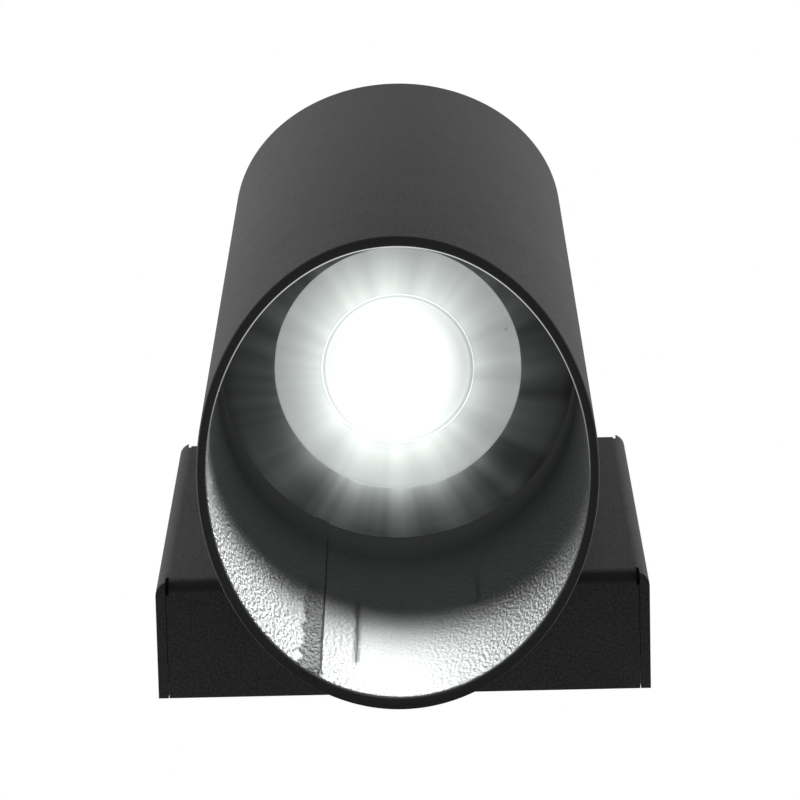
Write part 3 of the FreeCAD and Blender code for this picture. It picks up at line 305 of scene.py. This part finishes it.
def lit_bezel():
    """Satin polycarbonate ring around the lens, moulded, with a painted glow as if from the lit lens: most
    on the wall side, in soft painted rays that fade towards its edge. The painted glow is dimmer at its
    gate mark."""
    material, shader = new_material("polycarbonate_bezel_painted_glow", "c6cac8", 0.4)
    cloudy_colour(material, shader, 7.0, 3.0, 0.15, "bcc1bf", "d0d4d2")
    fine_tooth(material, shader, 0.4, 0.02, 0.4)
    place = add(material, "TexCoord")["Object"]
    reach, rays = spill_from(material, place, GLOW_CENTRE)
    # Painted glow: brightest beside the lens and on the wall side, in soft painted rays, and dimmer at the
    # gate mark.
    near = add(material, "MapRange", [reach, 0.52 * LAMP_RADIUS, 1.02 * LAMP_RADIUS, 1.0, 0.0])["Result"]
    fall = add(material, "Math", [near, 2.0], operation="POWER")["Value"]
    level = add(material, "MapRange", [fall, 0.0, 1.0, 0.32, 1.0])["Result"]
    streaks = add(material, "MapRange", [rays, 0.3, 0.7, 0.84, 1.14])["Result"]
    bright = add(material, "Math", [level, streaks], operation="MULTIPLY")["Value"]
    gate = (GATE_X, GATE_Y, LAMP_FACE_Z + 0.5 * MM)
    from_gate = add(material, "VectorMath", [place, gate], operation="DISTANCE")["Value"]
    off_gate = add(material, "MapRange", [from_gate, 0.35 * MM, 0.5 * MM, 0.45, 1.0])["Result"]
    marked = add(material, "Math", [bright, off_gate], operation="MULTIPLY")["Value"]
    # Painted shade in the glow along the lens's edge.
    rim = lens_rim_shade(material, place, 0.15 * MM, 0.6 * MM, 0.84, 1.0)
    glow = add(material, "Math", [marked, rim], operation="MULTIPLY")["Value"]
    shader.inputs["Emission Color"].default_value = linear("f6fdf9")
    join(material, glow, shader, "Emission Strength")
    return material


def press_coat_lit():
    """Black coat on the pressed ring, with the light that the lamp spills on it: brightest beside the lamp
    and on the wall side, with soft streaks that run outwards, and a haze that reaches the bore."""
    material, shader = new_material("steel_pressing_black_coat_lit", "2a2c2b", 0.65, Specular_IOR_Level=0.3)
    cloudy_colour(material, shader, 9.0, 4.0, 0.15, "242625", "303231")
    fine_tooth(material, shader, 0.4, 0.03, 0.5)
    place = add(material, "TexCoord")["Object"]
    reach, rays = spill_from(material, place, (-1.2 * MM, AXIS_Y + 4.5 * MM, LAMP_FACE_Z))
    near = add(material, "MapRange", [reach, 17.0 * MM, 29.0 * MM, 1.0, 0.0])["Result"]
    fall = add(material, "Math", [near, 4.0], operation="POWER")["Value"]
    streaks = add(material, "MapRange", [rays, 0.3, 0.7, 0.27, 0.63])["Result"]
    haze = add(material, "MapRange", [reach, 22.0 * MM, 36.0 * MM, 0.075, 0.015])["Result"]
    uneven = add(material, "MapRange", [rays, 0.35, 0.65, 0.45, 1.35])["Result"]
    rest = add(material, "Math", [haze, uneven], operation="MULTIPLY")["Value"]
    glow = add(material, "Math", [fall, streaks, rest], operation="MULTIPLY_ADD")["Value"]
    shader.inputs["Emission Color"].default_value = linear("eff7f3")
    join(material, glow, shader, "Emission Strength")
    return material


def phosphor_lit():
    """The chip's yellow silicone, lit through by its blue dies."""
    material, shader = new_material("phosphor_silicone_lit", "f2cf5a", 0.35)
    shader.inputs["Emission Color"].default_value = linear("fff6dc")
    shader.inputs["Emission Strength"].default_value = 3.0
    fine_tooth(material, shader, 0.8, 0.05, 1.0)
    return material


# ---------------------------------------------------------------- the other finishes


def coated_metal(name, dark, light, roughness, grain_mm=0.4):
    """A thin matt coat on pressed metal: even colour with a faint cloud and a fine tooth."""
    material, shader = new_material(name, light, roughness)
    cloudy_colour(material, shader, 9.0, 4.0, 0.15, dark, light)
    fine_tooth(material, shader, grain_mm, 0.03, 0.5)
    return material


def zinc_plated_steel(name, dark="b2b5b8", light="c9ccce", roughness=0.36):
    """Rolled sheet with a bright zinc plate: blue-grey, with rolling marks and slightly cloudy gloss."""
    material, shader = new_material(name, light, roughness, Metallic=1.0)
    patches = cloudy_colour(material, shader, 12.0, 3.0, 0.2, dark, light)
    gloss = add(material, "MapRange", [patches, 0.3, 0.7, roughness - 0.03, roughness + 0.04])["Result"]
    join(material, gloss, shader, "Roughness")
    fine_tooth(material, shader, 0.5, 0.02, 0.4, detail=4.0, drawn_out=0.04)
    return material


def moulded_plastic(name, dark, light, roughness, grain_mm=0.5):
    """An injection moulding from a spark-eroded mould: even colour, with a fine pitted skin."""
    material, shader = new_material(name, light, roughness)
    cloudy_colour(material, shader, 7.0, 3.0, 0.15, dark, light)
    fine_tooth(material, shader, grain_mm, 0.02, 0.5)
    return material


def steatite_ceramic():
    """Pressed and fired steatite: a chalky cream body with a thin glaze and small dark specks."""
    material, shader = new_material("steatite_fired", "e4dfd0", 0.38, Coat_Weight=0.25, Coat_Roughness=0.2)
    place = add(material, "TexCoord")["Object"]
    from_speck = add(material, "TexVoronoi", {"Vector": place, "Scale": 1 / (1.1 * MM)})["Distance"]
    two_tones(material, shader, from_speck, 0.04, 0.12, "b4ab95", "e4dfd0")
    fine_tooth(material, shader, 1.2, 0.04, 0.5, detail=3.0)
    return material


def silicone_lead(name, dark, light):
    """Silicone-insulated lead: soft sheen, with a dusty cloud along it."""
    material, shader = new_material(name, light, 0.45, Specular_IOR_Level=0.4)
    cloudy_colour(material, shader, 3.0, 3.0, 0.15, dark, light)
    fine_tooth(material, shader, 0.4, 0.02, 0.4)
    return material


def striped_earth_lead():
    """The earth lead's two colours: green, with yellow stripes that wind along it."""
    material, shader = new_material("silicone_earth_lead_extruded", "2f8a2e", 0.45)
    place = add(material, "TexCoord")["Object"]
    winding = {"Vector": place, "Scale": 120.0, "Distortion": 1.5}
    stripes = add(material, "TexWave", winding, bands_direction="DIAGONAL")["Fac"]
    two_tones(material, shader, stripes, 0.55, 0.62, "2f8a2e", "d8c928")
    fine_tooth(material, shader, 0.4, 0.02, 0.4)
    return material


def bare_metal(name, dark, light, roughness, grain_mm):
    """Bare turned or pressed metal with a fine tool grain."""
    material, shader = new_material(name, light, roughness, Metallic=1.0)
    cloudy_colour(material, shader, 2.0, 4.0, 0.2, dark, light)
    fine_tooth(material, shader, grain_mm, 0.02, 0.5, drawn_out=0.15)
    return material


def dress_nodes():
    """Gives each CAD node its finish."""
    finishes = {
        powder_coat_on_steel(): ("tube_body", "cover"),
        coated_metal("steel_screw_black_zinc", "1a1a1b", "29292b", 0.4, 0.3): ("cover_screws",),
        coated_metal("steel_pressing_black_coat", "1c1d1d", "262727", 0.6): ("closing_disc",),
        press_coat_lit(): ("baffle",),
        zinc_plated_steel("steel_sheet_zinc_plated"): ("wall_plate", "lamp_bracket", "ear_nuts"),
        zinc_plated_steel("steel_screw_zinc_plated", "a4a7aa", "c2c5c8", 0.3): (
            "tube_screws",
            "screw_washers",
            "bracket_nuts",
            "block_screw",
            "terminal_screws",
        ),
        zinc_plated_steel("steel_fixing_zinc_plated", "a4a7aa", "c2c5c8", 0.3): (
            "holder_screws",
            "holder_washers",
        ),
        moulded_plastic("epdm_black_moulded", "1b1b1b", "262626", 0.7, 0.7): ("cable_bush",),
        moulded_plastic("silicone_red_moulded", "8a2a1c", "a5382a", 0.5, 0.6): ("lead_bush",),
        moulded_plastic("polyamide_black_moulded", "1e1e1f", "2a2a2b", 0.5): ("saddle_pads",),
        moulded_plastic("polyamide_white_moulded", "d8d6ce", "e6e4dc", 0.45): ("terminal_block",),
        steatite_ceramic(): ("lamp_holder", "holder_face"),
        bare_metal("brass_turned", "a8873f", "d2b46a", 0.28, 0.3): ("terminal_clamps",),
        bare_metal("brass_nickel_plated", "b0aca0", "d4d0c4", 0.22, 0.3): ("holder_contacts", "lamp_pins"),
        bare_metal("copper_tinned_pressed", "a8a8a4", "cacac6", 0.3, 0.3): ("earth_lug",),
        lit_bezel(): ("lamp_bezel",),
        lit_lens(): ("lamp_lens",),
        moulded_plastic("pbt_white_moulded", "d9dad8", "e6e7e5", 0.42): ("lamp_housing", "lamp_base"),
        bare_metal("aluminium_pressed", "b4b5b7", "d6d7d9", 0.3, 0.4): ("heat_sink",),
        moulded_plastic("solder_mask_white_printed", "dcdcda", "ebebe9", 0.3): ("led_board",),
        phosphor_lit(): ("led_chip",),
        moulded_plastic("solder_mask_green_printed", "0d4a25", "146434", 0.3): ("driver_board",),
        silicone_lead("silicone_brown_extruded", "4a2410", "5e3018"): ("live_lead",),
        silicone_lead("silicone_blue_extruded", "163f8f", "2152ab"): ("neutral_lead",),
        striped_earth_lead(): ("earth_lead",),
    }
    for material, nodes in finishes.items():
        for node in nodes:
            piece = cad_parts[node]
            piece.data.materials.clear()
            piece.data.materials.append(material)


dress_nodes()


# ---------------------------------------------------------------- pieces made here


def take(piece):
    """Makes a piece the only one selected, and the active one."""
    bpy.ops.object.select_all(action="DESELECT")
    piece.select_set(True)
    bpy.context.view_layer.objects.active = piece


def pick(piece, kind, test):
    """In edit mode, selects only the piece's points or edges ("VERT" or "EDGE") that pass a test."""
    bpy.ops.mesh.select_mode(type=kind)
    bpy.ops.mesh.select_all(action="DESELECT")
    mesh = bmesh.from_edit_mesh(piece.data)
    for item in mesh.verts if kind == "VERT" else mesh.edges:
        item.select = test(item)
    mesh.select_flush_mode()
    bmesh.update_edit_mesh(piece.data)


def height_of(edge):
    """The height of an edge's middle."""
    return ((edge.verts[0].co + edge.verts[1].co) / 2).z


def open_ring(radius, depth, points):
    """An open cylinder about the tube's axis, as a new object."""
    bpy.ops.object.select_all(action="DESELECT")
    bpy.ops.mesh.primitive_cylinder_add(
        vertices=points,
        radius=radius,
        depth=depth,
        end_fill_type="NOTHING",
        location=(0.0, AXIS_Y, 0.0),
    )
    bpy.ops.object.transform_apply(location=True, rotation=True, scale=True)
    return bpy.context.object


def turned_ring(outline, points, height):
    """Turns an outline of (radius, height) steps in mm about the tube's axis, by drawing a circle out from
    step to step. It stays in edit mode. The outline starts and ends on one point, or on the same small
    radius, which is then closed by two flat faces."""
    bpy.ops.object.select_all(action="DESELECT")
    start_radius, start_rise = outline[0]
    bpy.ops.mesh.primitive_circle_add(
        vertices=points,
        radius=start_radius * MM,
        location=(0.0, AXIS_Y, height + start_rise * MM),
    )
    bpy.ops.object.transform_apply(location=True, rotation=True, scale=True)
    bpy.ops.object.mode_set(mode="EDIT")
    bpy.ops.mesh.select_all(action="SELECT")
    for (radius, rise), (next_radius, next_rise) in zip(outline, outline[1:]):
        bpy.ops.mesh.extrude_edges_move()
        scale = next_radius / radius
        bpy.ops.transform.resize(value=(scale, scale, 1.0), center_override=(0.0, AXIS_Y, height))
        bpy.ops.transform.translate(value=(0.0, 0.0, (next_rise - rise) * MM))
    bpy.ops.mesh.select_all(action="SELECT")
    bpy.ops.mesh.remove_doubles(threshold=0.002 * MM)
    ring = bpy.context.object
    if outline[-1] != outline[0]:
        for end in (outline[0], outline[-1]):
            level = height + end[1] * MM
            pick(ring, "EDGE", lambda edge: edge.is_boundary and abs(height_of(edge) - level) < 0.001 * MM)
            bpy.ops.mesh.edge_face_add()
    bpy.ops.mesh.select_all(action="SELECT")
    bpy.ops.mesh.normals_make_consistent(inside=False)
    return ring


def cut_away(piece, tool):
    """Takes a tool's shape away from a piece, and deletes the tool."""
    take(tool)
    bpy.ops.object.transform_apply(location=True, rotation=True, scale=True)
    take(piece)
    cutter = piece.modifiers.new("cut", "BOOLEAN")
    cutter.operation = "DIFFERENCE"
    cutter.object = tool
    cutter.solver = "EXACT"
    bpy.ops.object.modifier_apply(modifier=cutter.name)
    bpy.data.objects.remove(tool)


def drill(piece, radius, depth, place, towards=(0.0, 0.0, 0.0)):
    """Drills a round hole about a place. The drill points along Z unless it is turned."""
    bpy.ops.object.mode_set(mode="OBJECT")
    bpy.ops.object.select_all(action="DESELECT")
    bpy.ops.mesh.primitive_cylinder_add(
        vertices=48,
        radius=radius,
        depth=depth,
        location=place,
        rotation=towards,
    )
    cut_away(piece, bpy.context.object)


def saw(piece, place, turn, size):
    """Cuts a box out of a piece, about a place. The box is turned about Z."""
    bpy.ops.object.mode_set(mode="OBJECT")
    bpy.ops.object.select_all(action="DESELECT")
    bpy.ops.mesh.primitive_cube_add(size=1.0, location=place, rotation=(0.0, 0.0, turn), scale=size)
    cut_away(piece, bpy.context.object)


def finish_piece(piece, name, body, finish, sharp=30.0):
    """Names a piece, gives it its finish and smooth shading up to an angle, and sets what it rides on."""
    bpy.ops.object.mode_set(mode="OBJECT")
    take(piece)
    bpy.ops.object.shade_smooth_by_angle(angle=math.radians(sharp))
    piece.name = name
    piece.data.materials.clear()
    piece.data.materials.append(bpy.data.materials[finish])
    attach(piece, body)


def turn_of(point):
    """A point's angle about the tube's axis in degrees: 0 on the wall side, and positive towards -X."""
    return math.degrees(math.atan2(-point.x, point.y - AXIS_Y))


def push_out(piece, turn, half_width, amount, start, end):
    """Moves the bore's points near an angle away from the axis, between two distances from the lit lip."""
    def on_line(point):
        place = point.co
        inside = math.hypot(place.x, place.y - AXIS_Y) < TUBE_INSIDE + 0.5 * MM
        from_lip = (place - LIP_POINT).dot(LIP_INWARD)
        return inside and abs(turn_of(place) - turn) < half_width and start < from_lip < end
    pick(piece, "VERT", on_line)
    angle = math.radians(turn)
    bpy.ops.transform.translate(value=(-amount * math.sin(angle), amount * math.cos(angle), 0.0))


def shape_bore(tube, step):
    """Gives the bore its weld and draw lines. The weld's edge stands proud as a long slope with a sharp
    drop, and waves a little from row to row. A draw line is a shallow groove, one point wide."""
    for place, height in enumerate((0.08, 0.16, 0.24, 0.32, 0.4, 0.46)):
        push_out(tube, WELD_EDGE - place * step, step / 2, -height * MM, 1.8 * MM, 130.0 * MM)
    for row in range(ROW_COUNT):
        wave = 0.07 * math.sin(2.3 * row) + 0.05 * math.sin(5.1 * row + 1.0)
        start = (ROW_MM * row + ROW_MM / 2) * MM
        push_out(tube, WAVE_MIDDLE, WAVE_HALF_WIDTH, wave * MM, start, start + ROW_MM * MM)
    draw_lines = ((13.5, 0.3, 14.0, 50.0), (-24.5, 0.28, 34.0, 62.0), (0.0, 0.22, 42.0, 54.0))
    for turn, depth, start, end in draw_lines:
        push_out(tube, turn, step / 2, depth * MM, start * MM, end * MM)


def make_tube():
    """The welded tube: two skins cut off at the slant and bridged, with softened rims, a shaped bore, and
    holes on the wall side for its two screws and the leads. Its outer skin stays 0.015 mm inside the CAD
    node's."""
    points = 400
    blank_length = 0.36
    inner = open_ring(TUBE_INSIDE, blank_length, points)
    bpy.ops.object.mode_set(mode="EDIT")
    bpy.ops.mesh.select_all(action="SELECT")
    bpy.ops.mesh.flip_normals()
    for distance in [1.2, 2.4] + [ROW_MM * row for row in range(1, ROW_COUNT + 1)]:
        bpy.ops.mesh.select_all(action="SELECT")
        bpy.ops.mesh.bisect(plane_co=LIP_POINT + LIP_INWARD * distance * MM, plane_no=LIP_INWARD)
    bpy.ops.object.mode_set(mode="OBJECT")
    tube = open_ring(TUBE_RADIUS - 0.015 * MM, blank_length, points)
    inner.select_set(True)
    bpy.ops.object.join()
    bpy.ops.object.mode_set(mode="EDIT")
    for end in (-1, 1):
        outward = Vector((0.0, -math.sin(CUT_ANGLE), end * math.cos(CUT_ANGLE)))
        bpy.ops.mesh.select_all(action="SELECT")
        bpy.ops.mesh.bisect(plane_co=(0.0, AXIS_Y, end * TUBE_HALF), plane_no=outward, clear_outer=True)
    for end in (-1, 1):
        pick(tube, "EDGE", lambda edge: edge.is_boundary and height_of(edge) * end > 0)
        bpy.ops.mesh.bridge_edge_loops()
    pick(tube, "EDGE", lambda edge: edge.is_manifold and edge.calc_face_angle() > math.radians(30.0))
    bpy.ops.mesh.bevel(offset=0.4 * MM, segments=3, affect="EDGES")
    shape_bore(tube, 360.0 / points)
    wall_y = AXIS_Y + TUBE_RADIUS - 1.0 * MM
    to_wall = (math.radians(90.0), 0.0, 0.0)
    hole_depth = 12.0 * MM
    for radius, z in ((2.75, -18.0), (2.75, 18.0), (5.0, 44.0)):
        drill(tube, radius * MM, hole_depth, (0.0, wall_y, z * MM), to_wall)
    finish_piece(tube, "welded_tube", "fixture", "powder_coat_polyester_baked")
    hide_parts("tube_body")


def make_bezel():
    """The lamp's front ring: a dished face between two rounded lips, a thin skirt behind it, and the small
    dimple where the plastic entered the mould."""
    outline = [
        (15.56, 0.75), (15.6, 0.42), (15.78, 0.22), (16.1, 0.14), (17.2, 0.2), (18.8, 0.34), (20.6, 0.47),
        (22.2, 0.5), (23.4, 0.42), (24.1, 0.26), (24.5, 0.1), (24.8, 0.02), (25.02, 0.05), (25.16, 0.18),
        (25.23, 0.38), (25.25, 0.65), (25.25, 4.75), (25.1, 4.98), (24.25, 4.98), (24.08, 4.75),
        (24.06, 2.2), (23.8, 1.85), (16.0, 1.8), (15.56, 1.6), (15.56, 0.75),
    ]
    bezel = turned_ring(outline, 180, LAMP_FACE_Z)
    drill(bezel, 0.4 * MM, 0.5 * MM, (GATE_X, GATE_Y, LAMP_FACE_Z + 0.45 * MM))
    finish_piece(bezel, "lamp_front_ring", "lamp", "polycarbonate_bezel_painted_glow")
    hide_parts("lamp_bezel")


def make_lens():
    """The clear lens: a low crown inside a fine groove and a raised edge, and behind it the flange and the
    cone that reaches back to the chip."""
    outline = [
        (0.8, 0.3), (2.0, 0.31), (4.0, 0.35), (6.0, 0.42), (8.0, 0.5), (10.0, 0.61), (12.0, 0.75),
        (13.4, 0.87), (13.9, 1.05), (14.2, 1.1), (14.5, 1.05), (14.75, 0.75), (14.95, 0.5), (15.15, 0.42),
        (15.35, 0.47), (15.48, 0.65), (15.5, 1.9), (16.95, 1.95), (17.0, 2.1), (17.0, 3.35), (16.9, 3.45),
        (14.0, 3.45), (5.5, 12.2), (5.4, 12.25), (0.8, 12.25),
    ]
    lens = turned_ring(outline, 144, LAMP_FACE_Z)
    finish_piece(lens, "lamp_front_lens", "lamp", "polycarbonate_lens_lit", 40.0)
    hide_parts("lamp_lens")


def make_baffle():
    """The pressed ring around the lamp: its inner lip is curled back close to the lamp, a low bead runs
    round near the bore, and its skirt has six slits and a gap that clears the weld."""
    outline = [
        (25.7, 1.5), (25.42, 1.25), (25.33, 0.85), (25.38, 0.4), (25.6, 0.12), (26.1, 0.02), (27.0, 0.08),
        (29.5, 0.3), (32.0, 0.42), (33.0, 0.4), (33.5, 0.25), (33.9, 0.05), (34.3, 0.02), (34.7, 0.12),
        (35.2, 0.3), (35.65, 0.65), (35.92, 1.15), (36.0, 1.7), (36.0, 8.85), (35.85, 9.0), (35.15, 9.0),
        (35.0, 8.85), (35.0, 1.9), (34.8, 1.55), (34.4, 1.4), (29.5, 1.3), (27.0, 1.08), (26.4, 1.1),
        (26.1, 1.45), (25.7, 1.5),
    ]
    baffle = turned_ring(outline, 180, LAMP_FACE_Z)
    slit_place = (0.0, AXIS_Y, LAMP_FACE_Z + 7.0 * MM)
    slit_size = (80.0 * MM, 1.6 * MM, 8.0 * MM)
    for turn in (0.0, 60.0, 120.0):
        saw(baffle, slit_place, math.radians(turn), slit_size)
    weld = math.radians(27.0)
    middle = 37.3 * MM
    gap_place = (-middle * math.sin(weld), AXIS_Y + middle * math.cos(weld), LAMP_FACE_Z + 5.0 * MM)
    gap_size = (3.0 * MM, 3.6 * MM, 20.0 * MM)
    saw(baffle, gap_place, weld, gap_size)
    finish_piece(baffle, "pressed_baffle", "fixture", "steel_pressing_black_coat_lit")
    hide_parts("baffle")


make_tube()
make_bezel()
make_lens()
make_baffle()


# ---------------------------------------------------------------- camera

# The camera stands about a metre below the light and a little in front of it, and looks up along the tube.
# The picture's upper side is the room side of the tube.
CAMERA_PLACE = Vector((0.005652, -0.290626, -1.032279))
CAMERA_LENS = 224.57
CAMERA_TILT = math.radians(13.2353)
CAMERA_PAN = math.radians(-0.3096)
CAMERA_ROLL = math.radians(-1.3287)


def set_camera():
    """Places the camera, and turns it by its tilt, pan and roll."""
    data = bpy.data.cameras.new("camera")
    data.lens = CAMERA_LENS
    data.sensor_width = 36.0
    data.clip_start = 0.05
    data.clip_end = 20.0
    camera = bpy.data.objects.new("camera", data)
    bpy.context.scene.collection.objects.link(camera)
    forward = Vector(
        (
            math.sin(CAMERA_PAN) * math.cos(CAMERA_TILT),
            math.sin(CAMERA_TILT),
            math.cos(CAMERA_PAN) * math.cos(CAMERA_TILT),
        )
    )
    level = forward.cross(Vector((0.0, -1.0, 0.0))).normalized()
    upward = level.cross(forward)
    right = math.cos(CAMERA_ROLL) * level + math.sin(CAMERA_ROLL) * upward
    up = math.cos(CAMERA_ROLL) * upward - math.sin(CAMERA_ROLL) * level
    facing = Matrix((right, up, -forward)).transposed().to_4x4()
    camera.matrix_world = Matrix.Translation(CAMERA_PLACE) @ facing
    bpy.context.scene.camera = camera


set_camera()


# ---------------------------------------------------------------- light, floor and background


def soft_box(name, place, size, power):
    """A soft white light of a width and height, aimed at the middle of the tube."""
    data = bpy.data.lights.new(name, "AREA")
    data.shape = "RECTANGLE"
    data.size, data.size_y = size
    data.energy = power
    light = bpy.data.objects.new(name, data)
    bpy.context.scene.collection.objects.link(light)
    light.location = place
    direction = Vector((0.0, AXIS_Y, 0.0)) - Vector(place)
    light.rotation_mode = "QUATERNION"
    light.rotation_quaternion = direction.to_track_quat("-Z", "Y")


def set_studio():
    """Two tall soft boxes at the sides and a soft one on the room side, near the lit end."""
    soft_box("soft_box_left", (-0.55, -0.2, -0.02), (0.25, 0.5), 4.8)
    soft_box("soft_box_right", (0.55, -0.14, -0.02), (0.25, 0.5), 4.2)
    soft_box("soft_box_room", (0.0, -0.55, -0.45), (0.4, 0.4), 0.7)


def set_lamp_light():
    """The lit lamp's own light: a cone that meets the bore near its mouth, most on the wall side."""
    beam = bpy.data.lights.new("lamp_beam", "SPOT")
    beam.energy = 1.25
    beam.color = linear("fbfffd")[:3]
    beam.spot_size = math.radians(54.0)
    beam.spot_blend = 1.0
    beam.shadow_soft_size = 6.0 * MM
    lamp = bpy.data.objects.new("lamp_beam", beam)
    lamp.location = (0.0, AXIS_Y, LAMP_FACE_Z - 1.5 * MM)
    lamp.rotation_euler = (math.radians(6.0), math.radians(3.5), 0.0)
    bpy.context.scene.collection.objects.link(lamp)
    lamp.visible_camera = False


def seen_directly(material):
    """1 where the camera, gloss or glass looks straight at a surface, otherwise 0."""
    path = add(material, "LightPath")
    by_shine = [path["Is Glossy Ray"], path["Is Transmission Ray"]]
    shiny = add(material, "Math", by_shine, operation="MAXIMUM")["Value"]
    return add(material, "Math", [path["Is Camera Ray"], shiny], operation="MAXIMUM")["Value"]


def set_world():
    """White where the camera, glass or gloss sees it, and a dim even light for the rest."""
    world = bpy.data.worlds.new("studio")
    bpy.context.scene.world = world
    world.use_nodes = True
    background = world.node_tree.nodes["Background"]
    background.inputs["Color"].default_value = (1.0, 1.0, 1.0, 1.0)
    strength = add(world, "MapRange", [seen_directly(world), 0.0, 1.0, 0.22, 1.0])["Result"]
    join(world, strength, background, "Strength")


def set_floor():
    """A plain pale floor well below the light. It looks pale where it is seen, and keeps the light's
    shadow."""
    bpy.ops.object.select_all(action="DESELECT")
    bpy.ops.mesh.primitive_plane_add(size=12.0, location=(0.0, 0.0, -1.4))
    floor = bpy.context.object
    floor.name = "floor"
    material, shader = new_material("floor_paper_matt", "f4f4f4", 0.9, Specular_IOR_Level=0.1)
    cloudy_colour(material, shader, 40.0, 3.0, 0.2, "f1f1f1", "f6f6f6")
    shown = add(material, "MapRange", [seen_directly(material), 0.0, 1.0, 0.0, 0.72])["Result"]
    shader.inputs["Emission Color"].default_value = (1.0, 1.0, 1.0, 1.0)
    join(material, shown, shader, "Emission Strength")
    floor.data.materials.append(material)


set_studio()
set_lamp_light()
set_world()
set_floor()
bpy.context.scene.view_settings.view_transform = "Standard"
